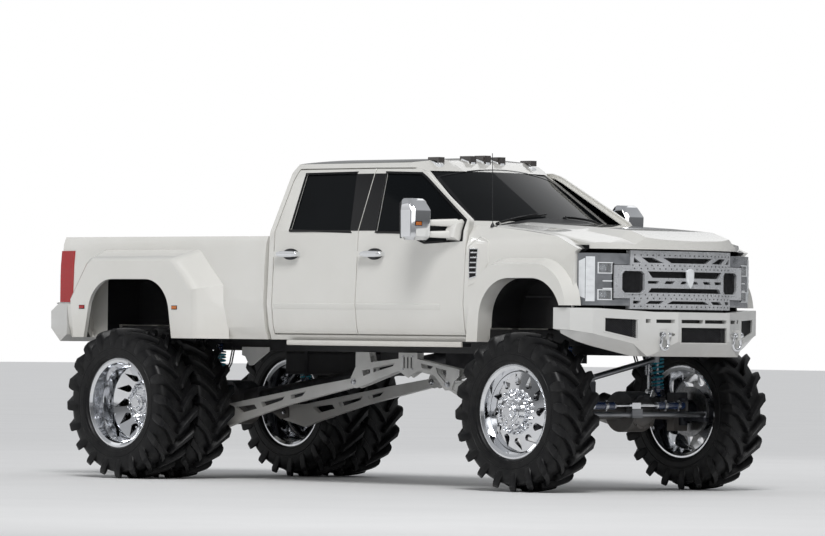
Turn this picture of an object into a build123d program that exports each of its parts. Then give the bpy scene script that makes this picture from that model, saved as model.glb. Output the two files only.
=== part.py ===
# Crew-cab dually pickup truck on long-travel link suspension and tractor tyres.
# Frame: +X to the front, +Y to the left, +Z up, in millimetres. The origin is on the ground,
# below the centre of the bounding box. The left-hand pieces are drawn, the right-hand ones mirrored.

from build123d import *
from math import asin, cos, degrees, radians, sin
import os

os.makedirs("parts", exist_ok=True)

# Overall layout
front_overhang = 1000.0
wheelbase = 4450.0
rear_overhang = 1283.0
overall_length = front_overhang + wheelbase + rear_overhang
front_x = overall_length / 2 - front_overhang
rear_x = front_x - wheelbase
tail_x = -overall_length / 2
slip = 0.3
door_gap = 10.0

# Wheels and tyres
tyre_radius = 637.0
tyre_width = 410.0
tyre_sides = 20
tread_depth = 46.0
lug_half = 24.0
lug_lead = 70.0
axle_z = tyre_radius
rim_width = 322.0
rim_lip_radius = 376.0
rim_wall = 14.0
front_wheel_y = 977.0
twin_inner_y = 783.0
twin_spacing = 421.0
disc_thickness = 28.0
disc_windows = 12
window_root_radius = 208.0
window_belly_radius = 242.0
window_tip_radius = 306.0
window_half_width = 33.0
window_swirl = 40.0
hub_bore_radius = 48.0

# Front axle and steering
kingpin_y = 830.0
steering_arm = 250.0
tie_rod_radius = 22.0
tie_rod_z = 618.0
damper_radius = 30.0
damper_rod_radius = 12.0
damper_z = 690.0
axle_tube_radius = 62.0
knuckle_half_height = 112.0

# Chassis
rail_inner_y = 362.0
rail_width = 70.0
rail_outer_y = rail_inner_y + rail_width
rail_bottom_z = 1090.0
rail_height = 200.0
rail_top_z = rail_bottom_z + rail_height
rail_front_x = front_x + 790.0
rail_rear_x = tail_x + 273.0
link_y = 455.0
link_thickness = 50.0
link_pin_radius = 17.0
hanger_plate = 12.0

# Body sides: half widths and heights of the section, from the sill to the roof
crease_half = 1016.0
sill_half = crease_half - 61.0
rocker_half = crease_half - 24.0
belt_half = crease_half - 31.0
glass_top_half = crease_half - 216.0
roof_edge_half = crease_half - 271.0
sill_z = 1187.0
rocker_z = 1290.0
crease_z = 1478.0
belt_z = 2080.0
greenhouse_height = 618.0
roof_z = belt_z + greenhouse_height
glass_top_z = roof_z - 138.0
roof_edge_z = roof_z - 53.0
door_thickness = 112.0
pillar_thickness = 52.0
roof_thickness = 46.0
skin_thickness = 24.0
floor_z = rail_top_z + 20.0
floor_thickness = 40.0

# Cab: places measured back from the front axle
door_front_x = front_x - 702.0
door_seam_x = front_x - 1950.0
door_rear_x = front_x - 2943.0
door_bottom_z = 1238.0
door_top_z = roof_z - 102.0
cab_rear_x = front_x - 3003.0
firewall_x = front_x - 640.0
cowl_x = front_x - 532.0
cowl_z = 2112.0
cowl_half = crease_half - 178.0
screen_base_x = front_x - 655.0
screen_base_z = 2152.0
screen_top_x = front_x - 1365.0
screen_top_z = roof_z - 102.0
screen_bow_radius = 2600.0
b_pillar_width = 110.0
body_mounts = [-760.0, -1500.0, -2240.0, -2900.0]
window_top_z = roof_z - 140.0
door_lap = 24.0
glass_thickness = 6.0

# Hood and front end
hood_rear_x = front_x - 515.0
hood_hinge_x = hood_rear_x
hood_hinge_y = 650.0
hood_hinge_z = 2120.0
hood_lug_half = 9.0
hood_lug_radius = 9.0
hood_pin_radius = 5.0
hood_half = crease_half - 144.0
hood_seam = 8.0
hood_thickness = 34.0
fender_wall = 60.0
liner_thickness = 12.0
liner_inner_half = 608.0
flare_half = crease_half + 86.0
arch_top_z = 1698.0
grille_z_low = 1462.0
grille_z_high = 1925.0
grille_x = front_x + 738.0
grille_half = hood_half - 290.0
ear_half = grille_half + 159.0
ear_z_low = grille_z_low + 83.0
ear_z_high = grille_z_low + 346.0
lamp_gap = 4.0
lamp_inner_y = grille_half + lamp_gap

# Bed and tail
bed_front_x = front_x - 3047.0
bed_rear_x = tail_x + 133.0
bed_floor_z = 1500.0
bed_floor_thickness = 30.0
bed_rail_z = 2045.0
bed_inner_half = crease_half - 188.0
bed_skin_half_top = crease_half - 54.0
gate_thickness = 62.0
gate_half = bed_inner_half - 60.0
gate_bottom_z = 1492.0
gate_hinge_x = bed_rear_x + 20.0
gate_hinge_z = gate_bottom_z + 24.0
gate_pin_radius = 9.0
dually_half = crease_half + 210.0
bulge_wall = 40.0
bumper_top_z = 1478.0
receiver_size = 90.0
receiver_opening = 64.0
hitch_pin_radius = 8.2


def side_prism(outline, y_low, y_high):
    """Solid of a closed X-Z outline between two Y values."""
    with BuildPart() as prism:
        with BuildSketch(Plane.XZ.offset(-y_high)):
            with BuildLine():
                Polyline(*outline, close=True)
            make_face()
        extrude(amount=y_high - y_low)
    return prism.part


def front_prism(outline, x_low, x_high):
    """Solid of a closed Y-Z outline between two X values."""
    with BuildPart() as prism:
        with BuildSketch(Plane.YZ.offset(x_low)):
            with BuildLine():
                Polyline(*outline, close=True)
            make_face()
        extrude(amount=x_high - x_low)
    return prism.part


def plan_prism(outline, z_low, z_high):
    """Solid of a closed X-Y outline between two Z values."""
    with BuildPart() as prism:
        with BuildSketch(Plane.XY.offset(z_low)):
            with BuildLine():
                Polyline(*outline, close=True)
            make_face()
        extrude(amount=z_high - z_low)
    return prism.part


def block(x_low, x_high, y_low, y_high, z_low, z_high):
    """Rectangular solid from its low and high coordinates."""
    corners = [(x_low, y_low), (x_high, y_low), (x_high, y_high), (x_low, y_high)]
    return plan_prism(corners, z_low, z_high)


def rod(start, end, radius):
    """Round bar between two points."""
    axis = Vector(*end) - Vector(*start)
    with BuildPart() as bar:
        with BuildSketch(Plane(origin=start, z_dir=axis)):
            Circle(radius)
        extrude(amount=axis.length)
    return bar.part


def grown(outline, amount, y_low, y_high):
    """Solid of an X-Z outline moved outward by an amount, with sharp corners."""
    with BuildPart() as prism:
        with BuildSketch(Plane.XZ.offset(-y_high)):
            with BuildLine():
                Polyline(*outline, close=True)
            make_face()
            offset(amount=amount, kind=Kind.INTERSECTION)
        extrude(amount=y_high - y_low)
    return prism.part


def grown_plan(outline, amount, z_low, z_high):
    """Solid of an X-Y outline moved outward by an amount."""
    with BuildPart() as prism:
        with BuildSketch(Plane.XY.offset(z_low)):
            with BuildLine():
                Polyline(*outline, close=True)
            make_face()
            offset(amount=amount, kind=Kind.INTERSECTION)
        extrude(amount=z_high - z_low)
    return prism.part


def from_axle(axle_x, points):
    """Outline points given as distance from an axle and height."""
    return [(axle_x + x, z) for x, z in points]


def mirrored(part):
    """The right-hand twin of a left-hand solid."""
    return mirror(part, about=Plane.XZ)


def write(builder, label):
    """Labels a finished piece and writes it as its own file."""
    builder.part.label = label
    export_step(builder.part, f"parts/{label}.step")


# Wheels. The tyre is a ring of flat facets with slanted lugs, staggered from side to side.
tyre_half = tyre_width / 2 - 2.0
lug_pitch = 360.0 / tyre_sides
lug_corner = degrees(asin((lug_lead + lug_half) / tyre_radius))
lug_tip_radius = tyre_radius / cos(radians(lug_corner - lug_pitch / 4))
lug_top = lug_tip_radius * cos(radians(lug_corner))
tread_floor = tyre_radius - tread_depth
lug_root = tread_floor - 20.0
sidewall_radius = 520.0
bead_half = tyre_half - 58.0
# Lug seen from above. Columns: along the tread, across from the tyre's middle plane
lug_plan = [
    (-lug_lead - lug_half, 10.0), (-lug_lead + lug_half, 10.0),
    (lug_lead + lug_half, tyre_half), (lug_lead - lug_half, tyre_half),
]


def wheel_plane(y):
    """Plane across the axle at Y, its x pointing forward."""
    return Plane(origin=(0, y, 0), x_dir=(1, 0, 0), z_dir=(0, 1, 0))


def polygon_slab(radius, y_low, y_high):
    """Regular prism round the axle with a tyre's number of sides."""
    with BuildPart() as slab:
        with BuildSketch(wheel_plane(y_low)):
            RegularPolygon(radius=radius, side_count=tyre_sides, major_radius=False)
        extrude(amount=y_high - y_low)
    return slab.part


def sidewall_hollow(side):
    """Cone that slants one sidewall in towards its bead."""
    with BuildPart() as hollow:
        for y, radius in ((bead_half, rim_lip_radius - 30.0), (tyre_half, sidewall_radius)):
            with BuildSketch(wheel_plane(side * y)):
                RegularPolygon(radius=radius, side_count=tyre_sides, major_radius=False)
        loft(ruled=True)
    return hollow.part


def lug(side, angle):
    """One lug, its outer end leading its inner end round the tyre."""
    outward = Vector(cos(radians(angle)), 0, sin(radians(angle)))
    onward = Vector(-outward.Z, 0, outward.X)
    with BuildPart() as bar:
        with BuildSketch(Plane(origin=outward * lug_root, x_dir=onward, z_dir=outward)):
            with BuildLine():
                Polyline(*[(along, -side * across) for along, across in lug_plan], close=True)
            make_face()
        extrude(amount=lug_top - lug_root)
    return bar.part


with BuildPart() as tyre_form:
    add(polygon_slab(tread_floor, -tyre_half, tyre_half))
    for side in (-1, 1):
        add(sidewall_hollow(side), mode=Mode.SUBTRACT)
    add(polygon_slab(rim_lip_radius, -tyre_half, tyre_half), mode=Mode.SUBTRACT)
    for side in (-1, 1):
        for turn in range(tyre_sides):
            add(lug(side, lug_pitch * (turn + side / 4)))


def rim_ring(x, y):
    """Rim barrel with its two lips, its middle plane at Y."""
    half = rim_width / 2
    seat = rim_lip_radius - 22.0
    well = seat - 26.0
    outer = [
        (-half, rim_lip_radius),
        (-half + 12.0, rim_lip_radius),
        (-half + 20.0, seat),
        (-70.0, seat - 6.0),
        (-50.0, well),
        (50.0, well),
        (70.0, seat - 6.0),
        (half - 20.0, seat),
        (half - 12.0, rim_lip_radius),
        (half, rim_lip_radius),
    ]
    inner = [
        (half, rim_lip_radius - rim_wall),
        (half - 14.0, seat - rim_wall),
        (56.0, well - rim_wall),
        (-56.0, well - rim_wall),
        (-half + 14.0, seat - rim_wall),
        (-half, rim_lip_radius - rim_wall),
    ]
    points = [(y + across, axle_z + up) for across, up in outer + inner]
    with BuildPart() as ring:
        with BuildSketch(Plane.YZ.offset(x)):
            with BuildLine():
                Polyline(*points, close=True)
            make_face()
        revolve(axis=Axis((x, 0, axle_z), (0, 1, 0)))
    return ring.part


def wheel_disc(x, profile):
    """Disc turned from a closed outline of Y and radius, with swirled leaf windows through it."""
    points = [(y, axle_z + up) for y, up in profile]
    with BuildPart() as disc:
        with BuildSketch(Plane.YZ.offset(x)):
            with BuildLine():
                Polyline(*points, close=True)
            make_face()
        revolve(axis=Axis((x, 0, axle_z), (0, 1, 0)))
        with BuildSketch(mode=Mode.PRIVATE) as window:
            with BuildLine():
                low = (window_belly_radius, -window_half_width)
                high = (window_belly_radius, window_half_width)
                tip = (window_tip_radius, -window_swirl)
                ThreePointArc(low, (window_root_radius, 0.0), high)
                Line(high, tip)
                Line(tip, low)
            make_face()
        with BuildSketch(Plane(origin=(x, 0, axle_z), x_dir=(1, 0, 0), z_dir=(0, 1, 0))):
            with PolarLocations(0, disc_windows):
                add(window.sketch)
        extrude(amount=2 * overall_length, mode=Mode.SUBTRACT)
    return disc.part


well_inner = rim_lip_radius - 22.0 - 26.0 - rim_wall
front_disc_y = front_wheel_y + 62.0
front_disc = [
    (front_disc_y, well_inner + 6.0),
    (front_disc_y + disc_thickness, well_inner + 6.0),
    (front_disc_y + 58.0, 150.0),
    (front_disc_y + 104.0, 138.0),
    (front_disc_y + 122.0, 96.0),
    (front_disc_y + 122.0, 0.0),
    (front_disc_y + 96.0, 0.0),
    (front_disc_y + 96.0, hub_bore_radius),
    (front_disc_y - 60.0, hub_bore_radius),
    (front_disc_y - 60.0, 96.0),
    (front_disc_y + 26.0, 150.0),
]
with BuildPart() as wheel_front_left:
    add(rim_ring(front_x, front_wheel_y))
    add(wheel_disc(front_x, front_disc))
write(wheel_front_left, "wheel_front_left")

with BuildPart() as wheel_front_right:
    add(mirrored(wheel_front_left.part))
write(wheel_front_right, "wheel_front_right")

twin_outer_y = twin_inner_y + twin_spacing
twin_mid_y = (twin_inner_y + twin_outer_y) / 2
rear_disc_outer = [
    (twin_outer_y - 96.0, well_inner + 6.0),
    (twin_outer_y - 96.0 + disc_thickness, well_inner + 6.0),
    (twin_mid_y + disc_thickness, 170.0),
    (twin_mid_y + 108.0, 150.0),
    (twin_mid_y + 128.0, 100.0),
    (twin_mid_y + 128.0, 0.0),
    (twin_mid_y + 60.0, 0.0),
    (twin_mid_y + 60.0, hub_bore_radius),
    (twin_mid_y, hub_bore_radius),
    (twin_mid_y, 190.0),
]
rear_disc_inner = [
    (twin_inner_y + 96.0, well_inner + 6.0),
    (twin_inner_y + 96.0 - disc_thickness, well_inner + 6.0),
    (twin_mid_y - disc_thickness, 170.0),
    (twin_mid_y - 120.0, 150.0),
    (twin_mid_y - 120.0, hub_bore_radius),
    (twin_mid_y, hub_bore_radius),
    (twin_mid_y, 190.0),
]
with BuildPart() as wheel_rear_left:
    add(rim_ring(rear_x, twin_outer_y))
    add(rim_ring(rear_x, twin_inner_y))
    add(wheel_disc(rear_x, rear_disc_outer))
    add(wheel_disc(rear_x, rear_disc_inner))
write(wheel_rear_left, "wheel_rear_left")

with BuildPart() as wheel_rear_right:
    add(mirrored(wheel_rear_left.part))
write(wheel_rear_right, "wheel_rear_right")

# Columns: label, X of the wheel centre, Y of the middle plane
tyre_places = [
    ("tyre_front_left", front_x, front_wheel_y),
    ("tyre_front_right", front_x, -front_wheel_y),
    ("tyre_rear_left_outer", rear_x, twin_outer_y),
    ("tyre_rear_left_inner", rear_x, twin_inner_y),
    ("tyre_rear_right_outer", rear_x, -twin_outer_y),
    ("tyre_rear_right_inner", rear_x, -twin_inner_y),
]
for label, x, y in tyre_places:
    with BuildPart() as tyre_piece:
        with Locations((x, y, axle_z)):
            add(tyre_form.part)
    write(tyre_piece, label)

# Front axle: tube, offset differential, kingpin yokes and brackets for links and struts
diff_y = 210.0
diff_radius = 165.0
pinion_length = 320.0
front_diff = (front_x, diff_y, axle_z)
front_output = (front_x - 1450.0, diff_y, 1010.0)
front_shaft_way = (Vector(*front_output) - Vector(*front_diff)).normalized()
front_pinion_end = Vector(*front_diff) + front_shaft_way * pinion_length
yoke_ear_radius = 40.0
yoke_ear_height = 44.0
link_end_z = 560.0
link_front_end_x = front_x - 62.0
strut_y = 520.0
strut_bottom_z = 752.0
strut_top_z = 1165.0
damper_bracket_y = 580.0
damper_x = front_x + steering_arm
axle_tube_end_y = 735.0
yoke_plate_inner_y = 690.0
yoke_plate_outer_y = axle_tube_end_y + 10.0
yoke_arm_inner_y = axle_tube_end_y - 20.0
diff_half_width = 120.0
pinion_radius = 74.0
track_bar_tower_y = 364.0
track_bar_tower_half = 34.0
track_bar_low_z = 906.0
track_bar_high_z = 1062.0

with BuildPart() as front_axle:
    add(rod((front_x, -axle_tube_end_y, axle_z), (front_x, axle_tube_end_y, axle_z), axle_tube_radius))
    with BuildSketch(Plane.XZ.offset(-(diff_y + diff_half_width))):
        with Locations((front_x, axle_z)):
            Circle(diff_radius)
    extrude(amount=2 * diff_half_width)
    add(rod(front_diff, tuple(front_pinion_end), pinion_radius))
    for sign in (1, -1):
        for up in (1, -1):
            ear_low = knuckle_half_height + slip
            ear_z = axle_z + up * ear_low
            ear_end = ear_z + up * yoke_ear_height
            add(rod(
                (front_x, sign * kingpin_y, ear_z), (front_x, sign * kingpin_y, ear_end), yoke_ear_radius,
            ))
            add(block(
                front_x - yoke_ear_radius, front_x + yoke_ear_radius,
                min(sign * yoke_arm_inner_y, sign * kingpin_y),
                max(sign * yoke_arm_inner_y, sign * kingpin_y),
                min(ear_z, ear_end), max(ear_z, ear_end),
            ))
        add(block(
            front_x - yoke_ear_radius, front_x + yoke_ear_radius,
            min(sign * yoke_plate_inner_y, sign * yoke_plate_outer_y),
            max(sign * yoke_plate_inner_y, sign * yoke_plate_outer_y),
            axle_z - knuckle_half_height - yoke_ear_height, axle_z + knuckle_half_height + yoke_ear_height,
        ))
        strut_low = sign * strut_y - 34.0
        add(block(front_x - 30.0, front_x + 70.0, strut_low, strut_low + 68.0, axle_z, strut_bottom_z))
        bracket_low = sign * damper_bracket_y - 14.0
        add(block(front_x, damper_x + 34.0, bracket_low, bracket_low + 28.0, axle_z + 10.0, damper_z + 34.0))
        clevis_low = sign * link_y - link_thickness / 2 - hanger_plate - slip
        for face in (clevis_low, clevis_low + link_thickness + hanger_plate + 2 * slip):
            add(side_prism(
                [(link_front_end_x - 48.0, link_end_z - 46.0), (link_front_end_x + 48.0, link_end_z - 46.0),
                 (
                     front_x + 40.0, axle_z,
                 ), (front_x - 40.0, axle_z + 40.0), (link_front_end_x - 60.0, link_end_z + 40.0)],
                face, face + hanger_plate,
            ))
        add(rod(
            (link_front_end_x, sign * link_y - 40.0, link_end_z),
            (link_front_end_x, sign * link_y + 40.0, link_end_z),
            link_pin_radius,
        ))
    tower_low = -track_bar_tower_y - track_bar_tower_half
    tower_high = -track_bar_tower_y + track_bar_tower_half
    add(block(front_x + 60.0, front_x + 132.0, tower_low, tower_high, axle_z, track_bar_low_z - 26.0))
    add(block(front_x, front_x + 132.0, tower_low, tower_high, axle_z - 20.0, axle_z + 50.0))
write(front_axle, "front_axle")

# Knuckles: post between the yoke ears, steering arm to the front, spindle to the wheel
spindle_end_y = front_disc_y + 90.0
arm_z_low = 560.0
arm_z_high = 592.0
arm_half_width = 24.0
arm_boss_radius = 30.0
kingpin_radius = 44.0
spindle_radius = 74.0
stud_radius = 11.0
caliper_y = 925.0
with BuildPart() as knuckle_left:
    add(rod(
        (front_x, kingpin_y, axle_z - knuckle_half_height),
        (front_x, kingpin_y, axle_z + knuckle_half_height), kingpin_radius,
    ))
    add(rod((front_x, kingpin_y, axle_z), (front_x, front_disc_y - 62.0, axle_z), spindle_radius))
    add(rod((front_x, kingpin_y, axle_z), (front_x, spindle_end_y, axle_z), hub_bore_radius - slip))
    add(block(
        front_x - arm_half_width, damper_x, kingpin_y - arm_half_width, kingpin_y + arm_half_width,
        arm_z_low, arm_z_high,
    ))
    add(rod((damper_x, kingpin_y, arm_z_low), (damper_x, kingpin_y, arm_z_high), arm_boss_radius))
    add(rod((damper_x, kingpin_y, arm_z_low), (damper_x, kingpin_y, tie_rod_z + 30.0), stud_radius))
    add(block(
        front_x - 196.0, front_x - 60.0, caliper_y - 40.0, caliper_y + 34.0, axle_z - 70.0, axle_z + 90.0,
    ))
    add(block(front_x - 80.0, front_x, kingpin_y + 30.0, caliper_y, axle_z - 40.0, axle_z + 40.0))
write(knuckle_left, "knuckle_left")

with BuildPart() as knuckle_right:
    add(mirrored(knuckle_left.part))
write(knuckle_right, "knuckle_right")

# Tie rod: tube with an eye over each arm's stud, and the clamp plate below the dampers' common eye
eye_radius = 27.0
clamp_half = 60.0
with BuildPart() as tie_rod:
    add(rod(
        (damper_x, -kingpin_y + 15.0, tie_rod_z), (damper_x, kingpin_y - 15.0, tie_rod_z), tie_rod_radius,
    ))
    for sign in (1, -1):
        add(rod(
            (damper_x, sign * kingpin_y, arm_z_high + slip), (damper_x, sign * kingpin_y, tie_rod_z + 24.0),
            eye_radius,
        ))
    add(block(damper_x - 34.0, damper_x + 34.0, -clamp_half, clamp_half, tie_rod_z - 26.0, damper_z - 26.0))
    for sign in (1, -1):
        add(rod(
            (damper_x, sign * kingpin_y, arm_z_low), (damper_x, sign * kingpin_y, damper_z),
            stud_radius + slip,
        ), mode=Mode.SUBTRACT)
write(tie_rod, "tie_rod")

# Steering dampers: two barrels on the axle's brackets, their rods meeting in one eye block
barrel_inner_y = 250.0
barrel_outer_y = damper_bracket_y - 14.0
with BuildPart() as steering_damper_barrels:
    for sign in (1, -1):
        add(rod(
            (damper_x, sign * barrel_outer_y, damper_z), (damper_x, sign * barrel_inner_y, damper_z),
            damper_radius,
        ))
        add(rod(
            (damper_x, sign * (barrel_outer_y - 20.0), damper_z),
            (damper_x, sign * (barrel_inner_y - 1.0), damper_z),
            damper_rod_radius + slip,
        ), mode=Mode.SUBTRACT)
write(steering_damper_barrels, "steering_damper_barrels")

rod_reach = barrel_inner_y + 150.0
with BuildPart() as steering_damper_rods:
    add(rod((damper_x, -rod_reach, damper_z), (damper_x, rod_reach, damper_z), damper_rod_radius))
    add(block(damper_x - 22.0, damper_x + 22.0, -50.0, 50.0, damper_z - 25.5, damper_z + 22.0))
write(steering_damper_rods, "steering_damper_rods")

# Rear axle: tube, differential, pinion nose, link clevises and strut seats
rear_diff_radius = 190.0
rear_diff = (rear_x, 0.0, axle_z + 6.0)
rear_output = (front_x - 1760.0, 0.0, 1070.0)
rear_shaft_way = (Vector(*rear_output) - Vector(*rear_diff)).normalized()
rear_pinion_end = Vector(*rear_diff) + rear_shaft_way * (pinion_length + 30.0)
rear_link_end_x = rear_x + 145.0
rear_link_end_z = 560.0
rear_strut_y = 505.0
rear_strut_bottom_x = rear_x + 324.0
rear_strut_bottom_z = 770.0
rear_strut_top_z = 1150.0
rear_hub_end_y = twin_mid_y + 40.0
rear_tube_end_y = 800.0
rear_tube_radius = 76.0
rear_diff_half_width = 130.0
rear_pinion_radius = 92.0
with BuildPart() as rear_axle:
    add(rod((rear_x, -rear_tube_end_y, axle_z), (rear_x, rear_tube_end_y, axle_z), rear_tube_radius))
    add(rod((rear_x, -rear_hub_end_y, axle_z), (rear_x, rear_hub_end_y, axle_z), hub_bore_radius - slip))
    with BuildSketch(Plane.XZ.offset(-rear_diff_half_width)):
        with Locations((rear_x, rear_diff[2])):
            Circle(rear_diff_radius)
    extrude(amount=2 * rear_diff_half_width)
    add(rod(rear_diff, tuple(rear_pinion_end), rear_pinion_radius))
    for sign in (1, -1):
        clevis_low = sign * link_y - link_thickness / 2 - hanger_plate - slip
        for face in (clevis_low, clevis_low + link_thickness + hanger_plate + 2 * slip):
            add(side_prism(
                [(rear_x - 40.0, axle_z - 60.0), (rear_link_end_x - 40.0, rear_link_end_z - 62.0),
                 (rear_link_end_x + 52.0, rear_link_end_z - 46.0),
                 (rear_link_end_x + 56.0, rear_link_end_z + 40.0),
                 (rear_x + 30.0, axle_z + 60.0), (rear_x - 40.0, axle_z + 50.0)],
                face, face + hanger_plate,
            ))
        add(rod(
            (rear_link_end_x, sign * link_y - 40.0, rear_link_end_z),
            (rear_link_end_x, sign * link_y + 40.0, rear_link_end_z), link_pin_radius,
        ))
        arm_low = sign * rear_strut_y - 18.0
        add(side_prism(
            [(
                rear_x, axle_z + 20.0,
            ), (rear_x, axle_z + 60.0), (rear_strut_bottom_x + 36.0, rear_strut_bottom_z),
             (rear_strut_bottom_x + 36.0, rear_strut_bottom_z - 60.0)],
            arm_low, arm_low + 36.0,
        ))
write(rear_axle, "rear_axle")

# Links. Columns: distance from the front axle, height. The arch is fixed under the rail.
arch_rear_pin = (front_x - 2495.0, 843.0)
arch_front_pin = (front_x - 1389.0, 836.0)
arch_outline = from_axle(front_x, [
    (-2550.0, 815.0), (-2470.0, 790.0), (-2365.0, 818.0), (-1965.0, 940.0), (-1855.0, 884.0),
    (-1744.0, 940.0),
    (-1546.0, 905.0), (-1420.0, 786.0), (-1345.0, 790.0), (-1318.0, 860.0), (-1256.0, 905.0),
    (-1256.0, 961.0),
    (-1746.0, 1040.0), (-1746.0, rail_bottom_z), (-1966.0, rail_bottom_z), (-1966.0, 1040.0),
    (-2294.0, 1008.0), (-2316.0, rail_bottom_z), (-2476.0, rail_bottom_z), (-2476.0, 969.0), (-2530.0, 880.0),
])
arch_windows = [
    from_axle(front_x, [(-2400.0, 938.0), (-2302.0, 954.0), (-2302.0, 916.0), (-2384.0, 892.0)]),
    from_axle(front_x, [(-2268.0, 960.0), (-2008.0, 1006.0), (-2032.0, 978.0), (-2262.0, 924.0)]),
    from_axle(front_x, [(-1700.0, 1004.0), (-1560.0, 980.0), (-1600.0, 950.0), (-1694.0, 966.0)]),
    from_axle(front_x, [(-1530.0, 972.0), (-1400.0, 950.0), (-1420.0, 850.0), (-1510.0, 925.0)]),
]


def rear_link_x(share):
    """X at a share of the way from the rear axle's pin to the arch's pin."""
    return rear_link_end_x + share * (arch_rear_pin[0] - rear_link_end_x)


rear_link_outline = [
    (rear_link_end_x - 56.0, rear_link_end_z - 20.0), (rear_link_end_x - 20.0, rear_link_end_z - 64.0),
    (rear_link_x(0.136), 437.0),
    (rear_link_x(0.233), 491.0), (rear_link_x(0.549), 637.0),
    (arch_rear_pin[0] + 10.0, arch_rear_pin[1] - 40.0),
    (arch_rear_pin[0] + 36.0, arch_rear_pin[1] - 10.0), (arch_rear_pin[0] + 20.0, arch_rear_pin[1] + 36.0),
    (rear_link_x(0.733), 806.0), (rear_link_x(0.139), 634.0),
    (rear_link_end_x - 10.0, rear_link_end_z + 58.0),
    (rear_link_end_x - 56.0, rear_link_end_z + 28.0),
]
# Windows of the rear link. Columns: share of the way from the axle's pin to the arch's, height
rear_link_window_table = [
    [(0.188, 611.0), (0.323, 637.0), (0.342, 600.0), (0.232, 559.0)],
    [(0.367, 656.0), (0.530, 708.0), (0.515, 676.0), (0.384, 616.0)],
    [(0.569, 722.0), (0.674, 756.0), (0.649, 716.0), (0.576, 686.0)],
]
front_link_outline = [
    (link_front_end_x - 20.0, link_end_z + 42.0), (link_front_end_x + 36.0, link_end_z + 10.0),
    (link_front_end_x + 20.0, link_end_z - 38.0), (front_x - 420.0, 520.0), (front_x - 1180.0, 700.0),
    (arch_front_pin[0] - 20.0, arch_front_pin[1] - 36.0), (arch_front_pin[0] - 38.0, arch_front_pin[1] + 8.0),
    (arch_front_pin[0] - 6.0, arch_front_pin[1] + 40.0), (front_x - 1150.0, 862.0), (front_x - 420.0, 668.0),
]
front_link_windows = [
    from_axle(front_x, [(-1130.0, 820.0), (-900.0, 758.0), (-940.0, 700.0), (-1110.0, 740.0)]),
    from_axle(front_x, [(-850.0, 744.0), (-600.0, 678.0), (-640.0, 618.0), (-830.0, 664.0)]),
]
link_low = link_y - link_thickness / 2
link_high = link_y + link_thickness / 2

with BuildPart() as left_arch:
    for face in (link_low - slip - hanger_plate, link_high + slip):
        add(side_prism(arch_outline, face, face + hanger_plate))
        for window in arch_windows:
            add(side_prism(window, face, face + hanger_plate), mode=Mode.SUBTRACT)
    add(block(front_x - 1956.0, front_x - 1756.0, link_low - 1.0, link_high + 1.0, 960.0, rail_bottom_z))
    add(block(front_x - 2466.0, front_x - 2326.0, link_low - 1.0, link_high + 1.0, 1060.0, rail_bottom_z))
    for pin in (arch_rear_pin, arch_front_pin):
        add(rod(
            (pin[0], link_low - slip - hanger_plate - 8.0, pin[1]),
            (pin[0], link_high + slip + hanger_plate + 8.0, pin[1]),
            link_pin_radius,
        ))
with BuildPart() as link_arches:
    add(left_arch.part)
    add(mirrored(left_arch.part))
write(link_arches, "link_arches")

with BuildPart() as left_rear_link:
    add(side_prism(rear_link_outline, link_low, link_high))
    for window in rear_link_window_table:
        outline = [(rear_link_x(share), z) for share, z in window]
        add(side_prism(outline, link_low, link_high), mode=Mode.SUBTRACT)
    for x, z in ((rear_link_end_x, rear_link_end_z), arch_rear_pin):
        add(rod((x, link_low, z), (x, link_high, z), link_pin_radius + slip), mode=Mode.SUBTRACT)
with BuildPart() as rear_links:
    add(left_rear_link.part)
    add(mirrored(left_rear_link.part))
write(rear_links, "rear_links")

with BuildPart() as left_front_link:
    add(side_prism(front_link_outline, link_low, link_high))
    for window in front_link_windows:
        add(side_prism(window, link_low, link_high), mode=Mode.SUBTRACT)
    for x, z in ((link_front_end_x, link_end_z), arch_front_pin):
        add(rod((x, link_low, z), (x, link_high, z), link_pin_radius + slip), mode=Mode.SUBTRACT)
with BuildPart() as front_links:
    add(left_front_link.part)
    add(mirrored(left_front_link.part))
write(front_links, "front_links")

# Coil-over struts, front and rear, and the track bar
coil_radius = 56.0
strut_radius = 30.0


def strut(bottom, top):
    """Damper body with a coil round its upper two thirds, as turned solids."""
    low = Vector(*bottom)
    span = Vector(*top) - low
    with BuildPart() as piece:
        add(rod(bottom, top, strut_radius))
        coil_start = low + span * 0.24
        coil_end = low + span * 0.9
        add(rod(tuple(coil_start), tuple(coil_end), coil_radius))
    return piece.part


with BuildPart() as front_coilovers:
    for sign in (1, -1):
        add(strut(
            (front_x + 10.0, sign * strut_y, strut_bottom_z), (front_x + 10.0, sign * strut_y, strut_top_z),
        ))
write(front_coilovers, "front_coilovers")

with BuildPart() as rear_coilovers:
    for sign in (1, -1):
        add(strut(
            (rear_strut_bottom_x, sign * rear_strut_y, rear_strut_bottom_z),
            (rear_strut_bottom_x, sign * rear_strut_y, rear_strut_top_z),
        ))
write(rear_coilovers, "rear_coilovers")

track_bar_x = front_x + 104.0
track_bar_radius = 24.0
# Ends of the track bar. Columns: Y, height
track_bar_ends = [(-track_bar_tower_y, track_bar_low_z), (rail_inner_y + 32.0, track_bar_high_z)]
with BuildPart() as track_bar:
    low_end, high_end = [(track_bar_x, y, z) for y, z in track_bar_ends]
    add(rod(low_end, high_end, track_bar_radius))
    for y, z in track_bar_ends:
        add(rod((track_bar_x, y, z - 26.0), (track_bar_x, y, z + 28.0), 1.5 * track_bar_radius))
write(track_bar, "track_bar")

# Ladder frame with cross-members, strut towers and the hitch receiver
tower_plate = 30.0
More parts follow.
